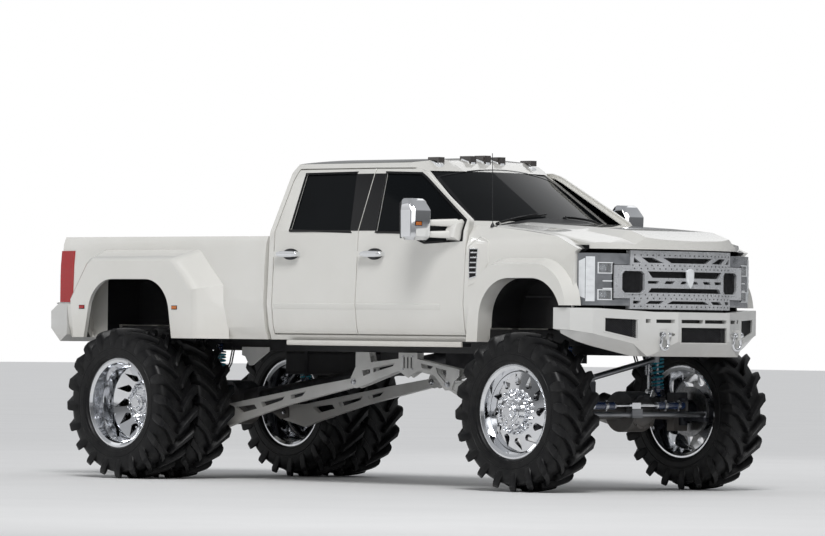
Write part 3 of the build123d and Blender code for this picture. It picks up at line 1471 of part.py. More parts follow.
# Plate bumper: centre box, wings swept back round the tyres, mesh windows and a row of slots
bumper_front_x = front_x + front_overhang
bumper_outer_y = crease_half + 76.0
bumper_plan = [
    (bumper_front_x, 0.0), (bumper_front_x, 300.0), (front_x + 905.0, 470.0),
    (front_x + 690.0, crease_half - 66.0), (front_x + 545.0, crease_half + 48.0),
    (front_x + 389.0, bumper_outer_y), (front_x + 389.0, crease_half + 24.0),
    (front_x + 520.0, crease_half - 16.0), (front_x + 620.0, crease_half - 111.0),
    (rail_front_x, 440.0), (rail_front_x, 0.0),
]
bumper_step_z = bumper_top_z - 38.0
bumper_low_z = bumper_top_z - 390.0
bumper_face = [
    (0.0, bumper_low_z), (530.0, bumper_low_z), (640.0, bumper_low_z + 102.0),
    (bumper_outer_y + 8.0, bumper_low_z + 212.0), (bumper_outer_y + 8.0, bumper_top_z - 12.0),
    (900.0, bumper_top_z - 14.0), (470.0, bumper_step_z), (0.0, bumper_step_z),
]
bumper_profile = [
    (bumper_front_x, bumper_step_z), (bumper_front_x, bumper_top_z - 273.0), (front_x + 880.0, bumper_low_z),
    (front_x + 360.0, bumper_low_z), (front_x + 360.0, bumper_top_z), (front_x + 905.0, bumper_top_z),
    (front_x + 940.0, bumper_step_z),
]
# Openings of the bumper's face, drawn on the left as outlines of Y and Z
bumper_openings = [
    [(606.0, 1228.0), (857.0, 1286.0), (857.0, 1388.0), (606.0, 1378.0)],
    [(10.0, 1353.0), (262.0, 1353.0), (262.0, 1381.0), (10.0, 1381.0)],
    [(323.0, 1353.0), (459.0, 1353.0), (459.0, 1381.0), (323.0, 1381.0)],
    [(500.0, 1353.0), (540.0, 1353.0), (540.0, 1383.0), (500.0, 1383.0)],
]
centre_window_half = 262.0
shackle_y = 421.0
shackle_z = 1262.0
shackle_hole_radius = 13.0
with BuildPart() as bumper_half:
    add(plan_prism(bumper_plan, bumper_low_z - 80.0, bumper_top_z + 20.0))
    add(front_prism(bumper_face, front_x + 300.0, bumper_front_x + 50.0), mode=Mode.INTERSECT)
    add(side_prism(bumper_profile, -10.0, bumper_outer_y + 50.0), mode=Mode.INTERSECT)
    for outline in bumper_openings:
        add(front_prism(outline, front_x + 560.0, bumper_front_x + 50.0), mode=Mode.SUBTRACT)
    add(block(
        rail_front_x + 10.0, bumper_front_x, shackle_y - 12.0, shackle_y + 12.0, shackle_z - 40.0,
        shackle_z + 40.0,
    ))
    add(rod(
        (bumper_front_x - 26.0, shackle_y - 110.0, shackle_z),
        (bumper_front_x - 26.0, shackle_y + 90.0, shackle_z),
        shackle_hole_radius,
    ), mode=Mode.SUBTRACT)
with BuildPart() as front_bumper:
    add(bumper_half.part)
    add(mirrored(bumper_half.part))
    add(block(
        front_x + 560.0, bumper_front_x + 50.0, -centre_window_half, centre_window_half,
        bumper_top_z - 278.0, bumper_top_z - 160.0,
    ), mode=Mode.SUBTRACT)
write(front_bumper, "front_bumper")

# Bed: double side walls, floor on cross sills, wheel housings and the wide fenders over the twin tyres
bed_half_section = [
    (sill_half, sill_z), (rocker_half, rocker_z), (crease_half, crease_z), (crease_half - 10.0, 1800.0),
    (crease_half - 28.0, 1985.0), (bed_skin_half_top, bed_rail_z),
]
bed_arch = from_axle(rear_x, [(-628.0, 1100.0), (-505.0, 1682.0), (420.0, 1682.0), (515.0, 1100.0)])
bulge_base = from_axle(rear_x, [
    (-800.0, 1100.0), (-870.0, 1560.0), (-640.0, 1936.0), (600.0, 1936.0), (925.0, 1640.0), (965.0, 1100.0),
])
bulge_crown = from_axle(rear_x, [
    (-730.0, 1100.0), (-786.0, 1505.0), (-556.0, 1836.0), (486.0, 1836.0), (722.0, 1590.0), (750.0, 1100.0),
])
# Steps from the bed side out to the wide fender's side. Columns: share of the width, share of the taper
bulge_steps = [(0.0, 0.0), (0.86, 0.70), (0.96, 0.86), (1.0, 1.0)]
bulge_fillet = 110.0


def bulge(base, crown, y_base, y_crown):
    """Wide fender: ruled loft between rounded outlines that shrink on the way out."""
    with BuildPart() as form:
        for width_share, taper_share in bulge_steps:
            y = y_base + (y_crown - y_base) * width_share
            outline = [
                (-x - (outer_x - x) * taper_share, z + (outer_z - z) * taper_share)
                for (x, z), (outer_x, outer_z) in zip(base, crown)
            ]
            with BuildSketch(Plane(origin=(0, y, 0), x_dir=(-1, 0, 0), z_dir=(0, 1, 0))):
                with BuildLine():
                    Polyline(*outline, close=True)
                face = make_face()
                fillet(face.vertices().group_by(Axis.Y)[-1], radius=bulge_fillet)
        loft(ruled=True)
    return form.part


def drawn_in(outline, amount, middle_x):
    """Outline with its sides moved towards a middle X and its top lowered."""
    return [(x + amount if x < middle_x else x - amount, z - amount if z > 1200.0 else z) for x, z in outline]


housing_half = 600.0
housing_top_z = 1730.0
housing_bottom_z = rail_top_z + 8.0
with BuildPart() as housing:
    add(block(rear_x - 640.0, rear_x + 520.0, housing_half - 24.0, bed_inner_half + 20.0,
              housing_bottom_z, housing_top_z))
    add(block(rear_x - 600.0, rear_x + 480.0, housing_half, bed_inner_half + 40.0,
              housing_bottom_z - 10.0, housing_top_z - 30.0), mode=Mode.SUBTRACT)
with BuildPart() as bed_side:
    add(half_section_prism(bed_half_section, bed_inner_half, bed_rear_x, bed_front_x))
    add(bulge(bulge_base, bulge_crown, crease_half - 30.0, dually_half))
    add(bulge(
        drawn_in(bulge_base, bulge_wall, rear_x), drawn_in(bulge_crown, bulge_wall, rear_x),
        crease_half - 60.0, dually_half - bulge_wall,
    ), mode=Mode.SUBTRACT)
    add(block(
        bed_rear_x - 200.0, bed_front_x + 200.0, 500.0, dually_half + 74.0, 900.0, sill_z,
    ), mode=Mode.SUBTRACT)
    add(block(rear_x - 600.0, rear_x + 480.0, housing_half + 6.0, crease_half + 60.0, sill_z - 5.0, 1700.0),
        mode=Mode.SUBTRACT)
    add(arch_prism(bed_arch, 300.0, crease_half - 60.0, dually_half + 10.0, 0), mode=Mode.SUBTRACT)
    add(housing.part)
tail_lamp_z_low = bumper_top_z + 6.0
tail_lamp_z_high = 1926.0
tail_lamp_plan = [
    (bed_rear_x - 10.0, gate_half + 90.0), (bed_rear_x - 10.0, crease_half + 1.0),
    (bed_rear_x + 158.0, crease_half + 1.0), (bed_rear_x + 158.0, crease_half - 52.0),
    (bed_rear_x + 40.0, gate_half + 90.0),
]
sill_places = [bed_front_x - 153.0, rear_x + 750.0, rear_x + 170.0, rear_x - 450.0, bed_rear_x + 120.0]
with BuildPart() as bed:
    add(bed_side.part)
    add(mirrored(bed_side.part))
    add(block(bed_rear_x + gate_thickness + 12.0, bed_front_x, -bed_inner_half - 10.0, bed_inner_half + 10.0,
              bed_floor_z, bed_floor_z + bed_floor_thickness))
    add(block(
        bed_front_x - 50.0, bed_front_x, -bed_inner_half - 10.0, bed_inner_half + 10.0, bed_floor_z,
        bed_rail_z,
    ))
    for sign in (1, -1):
        add(block(
            rear_x - 600.0, rear_x + 480.0, min(sign * housing_half, sign * 900.0),
            max(sign * housing_half, sign * 900.0),
            bed_floor_z - 20.0, 1700.0,
        ), mode=Mode.SUBTRACT)
        corner = sign * gate_half
        add(block(
            bed_rear_x, bed_rear_x + 160.0, min(corner + sign * 6.0, sign * (bed_inner_half + 10.0)),
            max(corner + sign * 6.0, sign * (bed_inner_half + 10.0)), bed_floor_z, bed_rail_z,
        ))
    for x in sill_places:
        add(block(x - 40.0, x + 40.0, -560.0, 560.0, rail_top_z, bed_floor_z))
    add(block(
        bed_front_x - 30.0, bed_front_x, -bed_inner_half - 10.0, bed_inner_half + 10.0, 1400.0, bed_floor_z,
    ))
    add(block(
        bed_rear_x - 10.0, bed_rear_x + 82.0, -crease_half - 84.0, crease_half + 84.0, 1100.0,
        tail_lamp_z_low,
    ), mode=Mode.SUBTRACT)
    lamp_recess = grown_plan(tail_lamp_plan, slip, tail_lamp_z_low - 10.0, tail_lamp_z_high + slip)
    add(lamp_recess, mode=Mode.SUBTRACT)
    add(mirrored(lamp_recess), mode=Mode.SUBTRACT)
    gate_pin_end = gate_half + 32.0
    add(rod((gate_hinge_x, -gate_pin_end, gate_hinge_z), (gate_hinge_x, gate_pin_end, gate_hinge_z),
            gate_pin_radius + slip), mode=Mode.SUBTRACT)
write(bed, "bed")

with BuildPart() as tailgate:
    add(block(bed_rear_x, bed_rear_x + gate_thickness, -gate_half, gate_half, gate_bottom_z, bed_rail_z))
    add(block(bed_rear_x - 12.0, bed_rear_x + 5.0, -150.0, 150.0, 1880.0, 1960.0))
    trunnion_end = gate_pin_end - 1.0
    add(rod(
        (gate_hinge_x, -trunnion_end, gate_hinge_z), (gate_hinge_x, trunnion_end, gate_hinge_z),
        gate_pin_radius,
    ))
write(tailgate, "tailgate")

with BuildPart() as left_tail_lamp:
    add(plan_prism(tail_lamp_plan, tail_lamp_z_low, tail_lamp_z_high))
    add(half_section_prism(inset(bed_half_section, -8.0), gate_half, bed_rear_x - 30.0, bed_rear_x + 200.0),
        mode=Mode.INTERSECT)
with BuildPart() as tail_lamps:
    add(left_tail_lamp.part)
    add(mirrored(left_tail_lamp.part))
write(tail_lamps, "tail_lamps")

plate_recess_half = 190.0
plate_recess_z_low = 1260.0
plate_recess_z_high = 1390.0
rear_bumper_outline = [
    (bed_rear_x + 75.0, bumper_top_z), (bed_rear_x - 29.0, bumper_top_z), (tail_x, 1408.0),
    (tail_x + 3.0, 1261.0),
    (bed_rear_x - 10.0, 1150.0), (bed_rear_x + 75.0, 1210.0),
]
with BuildPart() as rear_bumper:
    add(side_prism(rear_bumper_outline, -crease_half + 6.0, crease_half - 6.0))
    add(block(
        tail_x - 10.0, bed_rear_x + 100.0, -receiver_size / 2 - 25.0, receiver_size / 2 + 25.0,
        receiver_z - 50.0, receiver_z + receiver_size / 2 + 20.0,
    ), mode=Mode.SUBTRACT)
    add(block(
        tail_x - 10.0, tail_x + 24.0, -plate_recess_half, plate_recess_half, plate_recess_z_low,
        plate_recess_z_high,
    ), mode=Mode.SUBTRACT)
    for sign in (1, -1):
        low = min(sign * rail_inner_y, sign * rail_outer_y)
        add(block(
            bed_rear_x + 60.0, rail_rear_x, low, low + rail_width, rail_top_z - 75.0, rail_top_z - 40.0,
        ))
write(rear_bumper, "rear_bumper")

# Cab roof lights: five domed lenses on the brow above the windscreen
roof_light_x = front_x - 1505.0
roof_light_places = [-538.0, -170.0, 0.0, 170.0, 538.0]
with BuildPart() as roof_form:
    add(section_solid(inset(cab_half_section, -slip), roof_z + slip, cab_rear_x, cowl_x))
    add(side_prism(cab_profile(0, 0, -slip), -crease_half, crease_half), mode=Mode.INTERSECT)
with BuildPart() as roof_lights:
    for y in roof_light_places:
        add(block(
            roof_light_x - 62.0, roof_light_x + 62.0, y - 34.0, y + 34.0, roof_z - 98.0,
            roof_z + 22.0 - abs(y) * 0.05,
        ))
    add(roof_form.part, mode=Mode.SUBTRACT)
write(roof_lights, "roof_lights")

# Running boards on short legs below the sills
board_inner_y = sill_half - 70.0
board_outer_y = sill_half + 48.0
board_z_high = sill_z - 13.0
board_z_low = board_z_high - 30.0
board_legs = [-2650.0, -1750.0, -850.0]
with BuildPart() as running_boards:
    for sign in (1, -1):
        low = min(sign * board_inner_y, sign * board_outer_y)
        add(block(
            front_x - 2770.0, front_x - 730.0, low, low + board_outer_y - board_inner_y, board_z_low,
            board_z_high,
        ))
        for leg_x in board_legs:
            leg_low = min(sign * (board_inner_y + 5.0), sign * (board_inner_y + 55.0))
            add(block(
                front_x + leg_x - 40.0, front_x + leg_x + 40.0, leg_low, leg_low + 50.0, board_z_high - 4.0,
                sill_z,
            ))
write(running_boards, "running_boards")
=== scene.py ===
# Visual model of a crew-cab dually pickup truck on tractor tyres.
# Metres, in the row frame: +X to the front, +Y to the left, +Z up.

from math import cos, pi, radians, sin, sqrt

import bmesh
import bpy
from mathutils import Matrix, Vector


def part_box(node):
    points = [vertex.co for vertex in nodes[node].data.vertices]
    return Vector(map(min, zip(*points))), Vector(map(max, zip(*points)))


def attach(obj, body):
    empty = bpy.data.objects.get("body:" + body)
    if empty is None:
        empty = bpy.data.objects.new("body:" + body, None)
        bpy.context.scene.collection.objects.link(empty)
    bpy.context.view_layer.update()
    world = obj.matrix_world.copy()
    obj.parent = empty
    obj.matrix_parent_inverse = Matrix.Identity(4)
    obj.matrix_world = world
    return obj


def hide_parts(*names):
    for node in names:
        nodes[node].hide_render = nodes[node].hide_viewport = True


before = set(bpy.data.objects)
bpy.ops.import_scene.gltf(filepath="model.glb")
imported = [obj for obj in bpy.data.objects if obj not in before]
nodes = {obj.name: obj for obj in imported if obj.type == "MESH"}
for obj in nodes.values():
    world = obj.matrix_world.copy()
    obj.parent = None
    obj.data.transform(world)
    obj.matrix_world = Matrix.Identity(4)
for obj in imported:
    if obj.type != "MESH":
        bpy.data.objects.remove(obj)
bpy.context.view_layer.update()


def middle(node, axis):
    """Middle of a CAD node's box along one axis."""
    low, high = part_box(node)
    return (low[axis] + high[axis]) / 2


front_x = middle("wheel_front_right", 0)
rear_x = middle("wheel_rear_right", 0)
wheelbase = front_x - rear_x
axle_z = middle("wheel_front_right", 2)
front_wheel_y = abs(middle("tyre_front_right", 1))
twin_outer_y = abs(middle("tyre_rear_right_outer", 1))
twin_inner_y = abs(middle("tyre_rear_right_inner", 1))
sides = ((1, "left"), (-1, "right"))


# Materials. Every one is built from nodes; colours are linear.

def plug(tree, node, values):
    """Links or sets a node's inputs: a socket is linked, anything else is set on the input itself."""
    for key, value in values.items():
        if isinstance(value, bpy.types.NodeSocket):
            tree.links.new(value, node.inputs[key])
        else:
            node.inputs[key].default_value = value


def add_node(tree, kind, values, **settings):
    """New shader node with its settings and inputs."""
    node = tree.nodes.new(f"ShaderNode{kind}")
    for key, value in settings.items():
        setattr(node, key, value)
    plug(tree, node, values)
    return node


def node_material(name):
    """A new material with its node tree, shader and object coordinates."""
    made = bpy.data.materials.new(name)
    made.use_nodes = True
    tree = made.node_tree
    place = add_node(tree, "TexCoord", {}).outputs["Object"]
    return made, tree, tree.nodes["Principled BSDF"], place


def noise(tree, place, scale, detail=3.0, roughness=0.5):
    """Noise texture in object space."""
    values = {"Scale": scale, "Detail": detail, "Roughness": roughness, "Vector": place}
    return add_node(tree, "TexNoise", values).outputs["Fac"]


def ramp(tree, value, low, high):
    """Maps a value to a blend of two colours."""
    node = add_node(tree, "ValToRGB", {"Fac": value})
    for element, position, colour in zip(node.color_ramp.elements, (0.3, 0.7), (low, high)):
        element.position = position
        element.color = (*colour, 1.0)
    return node.outputs["Color"]


def spread(tree, value, low, high, start=0.0, end=1.0):
    """Maps a range of a value to another range."""
    values = {"Value": value, "From Min": start, "From Max": end, "To Min": low, "To Max": high}
    return add_node(tree, "MapRange", values).outputs["Result"]


def maths(tree, operation, *values):
    """Result of a maths node."""
    return add_node(tree, "Math", dict(enumerate(values)), operation=operation).outputs[0]


def blend(tree, share, first, second):
    """Blends two colours."""
    return add_node(tree, "Mix", {"Factor": share, "A": first, "B": second},
        data_type="RGBA").outputs["Result"]


def bump(tree, shader, height, strength, distance):
    """Adds a bump to the shader's normal."""
    values = {"Strength": strength, "Distance": distance, "Height": height}
    tree.links.new(add_node(tree, "Bump", values).outputs["Normal"], shader.inputs["Normal"])


def dusted(tree, place, colour, dust, low_z, high_z, most):
    """Blends a colour towards dust below a height, broken up by noise."""
    height = add_node(tree, "SeparateXYZ", {"Vector": place}).outputs["Z"]
    fade = spread(tree, height, most, 0.0, low_z, high_z)
    patch = maths(tree, "MULTIPLY", fade, noise(tree, place, 5.0, detail=6.0, roughness=0.7))
    return blend(tree, patch, colour, (*dust, 1.0))


def surface(name, low, high, rough, metallic=0.0, scale=6.0, grain=0.0, grain_size=400.0, coat=0.0,
            rough_swing=0.06, dust=None, specular=0.5):
    """Surface with mottled colour, uneven roughness, an optional fine grain and dust low down."""
    made, tree, shader, place = node_material(name)
    colour = ramp(tree, noise(tree, place, scale), low, high)
    if dust:
        colour = dusted(tree, place, colour, (0.33, 0.28, 0.22), *dust)
    smudge = noise(tree, place, scale * 3.7, detail=5.0)
    plug(tree, shader, {
        "Base Color": colour, "Roughness": spread(tree, smudge, rough - rough_swing, rough + rough_swing),
        "Metallic": metallic, "Coat Weight": coat, "Coat Roughness": 0.03, "Specular IOR Level": specular,
    })
    if grain:
        bump(tree, shader, noise(tree, place, grain_size), grain, 0.002)
    return made


def inside_box(tree, place, low, high):
    """1 inside a box of the frame, 0 outside. The box's Y range holds for both sides."""
    split = add_node(tree, "SeparateXYZ", {"Vector": place})
    across = maths(tree, "ABSOLUTE", split.outputs["Y"])
    result = 1.0
    for source, start, end in zip((split.outputs["X"], across, split.outputs["Z"]), low, high):
        test = maths(tree, "COMPARE", source, (start + end) / 2, (end - start) / 2)
        result = maths(tree, "MULTIPLY", result, test)
    return result


def pearl_paint(wells):
    """Warm white paint: fine pearl flakes under a clear coat, dust along the sills, black wheel wells."""
    made, tree, shader, place = node_material("pearl_paint")
    colour = ramp(tree, noise(tree, place, 1.5), (0.74, 0.73, 0.69), (0.79, 0.78, 0.745))
    flakes = add_node(tree, "TexVoronoi", {"Scale": 900.0, "Vector": place}).outputs["Distance"]
    dark = 0.0
    for low, high in wells:
        dark = maths(tree, "MAXIMUM", dark, inside_box(tree, place, low, high))
    colour = dusted(tree, place, colour, (0.46, 0.4, 0.32), 1.1, 1.42, 0.5)
    plug(tree, shader, {
        "Base Color": blend(tree, dark, colour, (0.012, 0.012, 0.013, 1.0)),
        "Roughness": spread(tree, flakes, 0.2, 0.3), "Metallic": 0.08,
        "Coat Weight": spread(tree, dark, 1.0, 0.0), "Coat Roughness": 0.02,
    })
    bump(tree, shader, flakes, 0.03, 0.001)
    return made


def tinted_glass(name, colour, through):
    """Dark glass: glossy, with a little light passing through it."""
    made, tree, shader, place = node_material(name)
    haze = noise(tree, place, 2.0)
    plug(tree, shader, {
        "Base Color": ramp(tree, haze, colour, [c * 1.3 for c in colour]),
        "Roughness": spread(tree, haze, 0.015, 0.05), "Transmission Weight": through,
        "IOR": 1.25, "Specular IOR Level": 0.14,
    })
    return made


def lens(name, colour, pitch, through=0.85, rib_axis="Z"):
    """Moulded lamp lens with fine ribs."""
    made, tree, shader, place = node_material(name)
    wave = add_node(tree, "TexWave", {"Scale": pitch, "Distortion": 0.0, "Vector": place},
        bands_direction=rib_axis).outputs["Fac"]
    plug(tree, shader, {
        "Base Color": ramp(tree, wave, [c * 0.8 for c in colour], colour), "Roughness": 0.06,
        "Transmission Weight": through, "Coat Weight": 0.6,
    })
    bump(tree, shader, wave, 0.25, 0.002)
    return made


def brushed(name, low, high, rough, stretch):
    """Brushed metal: noise drawn out along one axis."""
    made, tree, shader, place = node_material(name)
    drawn = add_node(tree, "Mapping", {"Scale": stretch, "Vector": place}).outputs["Vector"]
    lines = noise(tree, drawn, 6.0, detail=4.0)
    plug(tree, shader, {
        "Base Color": ramp(tree, lines, low, high), "Metallic": 1.0,
        "Roughness": spread(tree, lines, rough - 0.06, rough + 0.08),
    })
    return made


def stitched_leather():
    """Dark leather with a cellular grain and soft creases."""
    made, tree, shader, place = node_material("seat_leather")
    cells = add_node(tree, "TexVoronoi", {"Scale": 240.0, "Vector": place}).outputs["Distance"]
    plug(tree, shader, {
        "Base Color": ramp(tree, noise(tree, place, 7.0), (0.02, 0.018, 0.017), (0.04, 0.037, 0.035)),
        "Roughness": spread(tree, cells, 0.36, 0.55),
    })
    bump(tree, shader, cells, 0.35, 0.003)
    return made


# Boxes of the wheel wells, low and high corners: front, rear, behind the rear arch
wheel_wells = [
    ((front_x - 0.72, 0.0, 1.05), (front_x + 0.56, 0.945, 1.965)),
    ((rear_x - 0.608, 0.59, 1.05), (rear_x + 0.488, 1.19, 1.707)),
    ((rear_x - 0.76, 1.0, 1.05), (rear_x - 0.6, 1.19, 1.42)),
]
pearl = pearl_paint(wheel_wells)
plate_white = surface("plate_white", (0.6, 0.6, 0.585), (0.66, 0.66, 0.645), 0.34, scale=3.0, grain=0.12,
    coat=0.4, dust=(1.08, 1.3, 0.5))
link_white = surface("link_white", (0.5, 0.5, 0.49), (0.62, 0.62, 0.61), 0.38, scale=5.0, grain=0.15,
    coat=0.3, dust=(0.4, 0.85, 0.7))
satin_black = surface("satin_black", (0.01, 0.01, 0.011), (0.022, 0.022, 0.024), 0.42, scale=4.0, grain=0.15)
gloss_black = surface("gloss_black", (0.004, 0.004, 0.005), (0.008, 0.008, 0.009), 0.12, scale=2.0,
    rough_swing=0.04, specular=0.25)
axle_grey = surface("axle_grey", (0.03, 0.032, 0.037), (0.065, 0.068, 0.076), 0.5, metallic=0.3, scale=9.0,
    grain=0.5, grain_size=160.0, dust=(0.4, 0.8, 0.6))
cast_dark = surface("cast_dark", (0.018, 0.02, 0.026), (0.045, 0.048, 0.058), 0.55, metallic=0.4, scale=11.0,
    grain=0.6, grain_size=140.0)
damper_blue = surface("damper_blue", (0.006, 0.018, 0.06), (0.012, 0.03, 0.09), 0.2, scale=5.0, coat=1.0)
spring_teal = surface("spring_teal", (0.0, 0.17, 0.24), (0.01, 0.24, 0.33), 0.3, scale=9.0, grain=0.1,
    coat=0.5)
bright_steel = surface("bright_steel", (0.42, 0.43, 0.45), (0.62, 0.63, 0.65), 0.26, metallic=1.0, scale=12.0)
dark_steel = surface("dark_steel", (0.03, 0.03, 0.033), (0.07, 0.07, 0.075), 0.42, metallic=0.7, scale=10.0,
    grain=0.2)
rod_grey = brushed("rod_grey", (0.2, 0.205, 0.215), (0.34, 0.345, 0.36), 0.32, (6.0, 0.8, 6.0))
rotor_steel = brushed("rotor_steel", (0.2, 0.2, 0.205), (0.38, 0.38, 0.385), 0.34, (9.0, 1.0, 9.0))
chrome = surface("chrome", (0.8, 0.81, 0.83), (0.88, 0.89, 0.91), 0.07, metallic=1.0, scale=3.0,
    rough_swing=0.025)
wheel_chrome = surface("wheel_chrome", (0.74, 0.75, 0.77), (0.88, 0.89, 0.91), 0.085, metallic=1.0, scale=4.0,
    rough_swing=0.035)
rubber = surface("rubber", (0.005, 0.005, 0.006), (0.013, 0.013, 0.013), 0.36, scale=14.0, grain=0.2,
    grain_size=220.0, rough_swing=0.12, specular=0.22)
trim_rubber = surface("trim_rubber", (0.006, 0.006, 0.006), (0.012, 0.012, 0.012), 0.5, scale=20.0, grain=0.2)
moulded = surface("moulded_plastic", (0.014, 0.014, 0.015), (0.026, 0.026, 0.028), 0.55, scale=9.0, grain=0.4,
    grain_size=260.0)
mesh_black = surface("mesh_black", (0.016, 0.016, 0.018), (0.034, 0.034, 0.037), 0.42, metallic=0.4,
    scale=30.0)
grille_silver = surface("grille_silver", (0.5, 0.51, 0.53), (0.62, 0.63, 0.65), 0.28, metallic=0.4, scale=5.0,
    coat=0.5)
lamp_grey = surface("lamp_housing", (0.2, 0.21, 0.225), (0.34, 0.35, 0.37), 0.18, metallic=0.6, scale=8.0,
    coat=1.0)
lamp_white = surface("lamp_white", (0.72, 0.74, 0.76), (0.82, 0.84, 0.86), 0.2, scale=16.0, coat=1.0)
tank_black = surface("tank_plastic", (0.012, 0.012, 0.013), (0.024, 0.024, 0.026), 0.5, scale=5.0, grain=0.3)
leather = stitched_leather()
side_glass = tinted_glass("side_glass", (0.004, 0.005, 0.006), 0.12)
screen_glass = tinted_glass("screen_glass", (0.008, 0.009, 0.01), 0.22)
mirror_glass = surface("mirror_glass", (0.55, 0.58, 0.62), (0.6, 0.63, 0.67), 0.03, metallic=1.0, scale=3.0,
    rough_swing=0.01)
clear_lens = lens("clear_lens", (0.86, 0.88, 0.9), 60.0, rib_axis="Y")
red_lens = lens("red_lens", (0.5, 0.006, 0.01), 45.0, through=0.15)
roof_lens = lens("roof_lens", (0.07, 0.062, 0.058), 60.0, through=0.1, rib_axis="Y")
amber_lens = lens("amber_lens", (0.85, 0.22, 0.02), 70.0, through=0.3)

# CAD nodes that show as they are. Columns: material, edge bevel, nodes
node_finishes = [
    (pearl, 0.004, ["bed", "cab", "door_front_left", "door_front_right", "door_rear_left", "door_rear_right",
        "fender_left", "fender_right", "hood", "tailgate"]),
    (plate_white, 0.003, ["front_bumper", "rear_bumper"]),
    (link_white, 0.003, ["front_links", "rear_links", "link_arches"]),
    (satin_black, 0.003, ["frame_rails", "running_boards"]),
    (axle_grey, 0.005, ["front_axle", "rear_axle"]),
    (cast_dark, 0.005, ["knuckle_left", "knuckle_right", "engine"]),
    (damper_blue, 0.002, ["steering_damper_barrels"]),
    (chrome, 0.0, ["steering_damper_rods"]),
    (dark_steel, 0.003, ["driveline"]),
    (rod_grey, 0.002, ["tie_rod", "track_bar"]),
    (wheel_chrome, 0.0, ["wheel_front_left", "wheel_front_right", "wheel_rear_left", "wheel_rear_right"]),
    (moulded, 0.003, ["dashboard", "radiator"]),
    (grille_silver, 0.002, ["grille"]),
    (tank_black, 0.006, ["fuel_tank"]),
    (side_glass, 0.0, ["glass_front_left", "glass_front_right", "glass_rear_left", "glass_rear_right",
        "rear_glass"]),
    (screen_glass, 0.0, ["windshield"]),
    (lamp_grey, 0.003, ["headlamps"]),
    (roof_lens, 0.0, ["roof_lights"]),
    (red_lens, 0.003, ["tail_lamps"]),
]


def weld_group():
    """Node group that welds a mesh's seams and shades it smooth, ready for a bevel."""
    tree = bpy.data.node_groups.new("welded", "GeometryNodeTree")
    tree.interface.new_socket("Geometry", in_out="INPUT", socket_type="NodeSocketGeometry")
    tree.interface.new_socket("Geometry", in_out="OUTPUT", socket_type="NodeSocketGeometry")
    source = tree.nodes.new("NodeGroupInput")
    weld = tree.nodes.new("GeometryNodeMergeByDistance")
    weld.inputs["Distance"].default_value = 0.0001
    drop = tree.nodes.new("GeometryNodeRemoveAttribute")
    drop.inputs["Name"].default_value = "custom_normal"
    shade = tree.nodes.new("GeometryNodeSetShadeSmooth")
    out = tree.nodes.new("NodeGroupOutput")
    for a, b in ((source, weld), (weld, drop), (drop, shade), (shade, out)):
        tree.links.new(a.outputs[0], b.inputs[0])
    return tree


def soften(target, group, width):
    """Rounds a node's sharp edges and keeps its flats flat."""
    target.modifiers.new("weld", "NODES").node_group = group
    edge = target.modifiers.new("edges", "BEVEL")
    edge.width = width
    edge.segments = 2
    edge.limit_method = "ANGLE"
    edge.angle_limit = radians(22)
    edge.miter_outer = "MITER_ARC"
    target.modifiers.new("normals", "WEIGHTED_NORMAL")


welded = weld_group()
for material, width, names in node_finishes:
    for name in names:
        if not nodes[name].material_slots:
            nodes[name].data.materials.append(material)
        for material_slot in nodes[name].material_slots:
            material_slot.material = material
        if width:
            soften(nodes[name], welded, width)


# Mesh helpers. Each adds closed forms to a bmesh and takes X measured from the front axle. Most pieces
# are built in bm, one after the other.

bm = bmesh.new()


def placed(point):
    """Point of the frame for a point measured from the front axle."""
    return (front_x + point[0], point[1], point[2])


def add_form(bm, points, faces):
    """Adds vertices and faces given by index."""
    made = [bm.verts.new(placed(point)) for point in points]
    return [bm.faces.new([made[i] for i in face]) for face in faces]


def add_block(bm, low, high):
    """Box between two corners."""
    xs, ys, zs = zip(low, high)
    points = [(x, y, z) for z in zs for y in ys for x in xs]
    add_form(bm, points, [(0, 2, 3, 1), (4, 5, 7, 6), (0, 1, 5, 4), (2, 6, 7, 3), (0, 4, 6, 2), (1, 3, 7, 5)])


def join_rings(bm, rings, closed=False):
    """Faces between neighbouring rings of vertices. A ring of one vertex makes a tip."""
    for a, b in zip(rings, rings[1:] + rings[:closed]):
        count = max(len(a), len(b))
        for i in range(count if count > 1 else 0):
            j = (i + 1) % count
            corners = (a[i % len(a)], a[j % len(a)], b[j % len(b)], b[i % len(b)])
            bm.faces.new(list(dict.fromkeys(corners)))


def add_loft(bm, rings):
    """Closed form through rings with the same number of points, capped at both ends."""
    made = [[bm.verts.new(placed(point)) for point in ring] for ring in rings]
    join_rings(bm, made)
    bm.faces.new(list(reversed(made[0])))
    bm.faces.new(made[-1])


def add_prism(bm, outline, place, low, high):
    """Prism of a 2-D outline; place(u, v, w) gives the point, X measured from the front axle."""
    add_loft(bm, [[place(u, v, w) for u, v in outline] for w in (low, high)])


def add_frame(bm, outline, width, place, low, high):
    """Flat ring round a convex outline, from the outline outward by a width."""
    outer = grown(outline, width)
    count = len(outline)
    rows = [[place(u, v, w) for u, v in line] for line in (outline, outer) for w in (low, high)]
    inner_low, inner_high, outer_low, outer_high = [[bm.verts.new(placed(p)) for p in row] for row in rows]
    for i in range(count):
        j = (i + 1) % count
        bm.faces.new((inner_high[i], inner_high[j], outer_high[j], outer_high[i]))
        bm.faces.new((inner_low[j], inner_low[i], outer_low[i], outer_low[j]))
        bm.faces.new((inner_low[i], inner_low[j], inner_high[j], inner_high[i]))
        bm.faces.new((outer_low[j], outer_low[i], outer_high[i], outer_high[j]))


def turned_area(outline):
    """Twice the signed area of an outline."""
    return sum(x0 * y1 - x1 * y0 for (x0, y0), (x1, y1) in zip(outline, outline[1:] + outline[:1]))


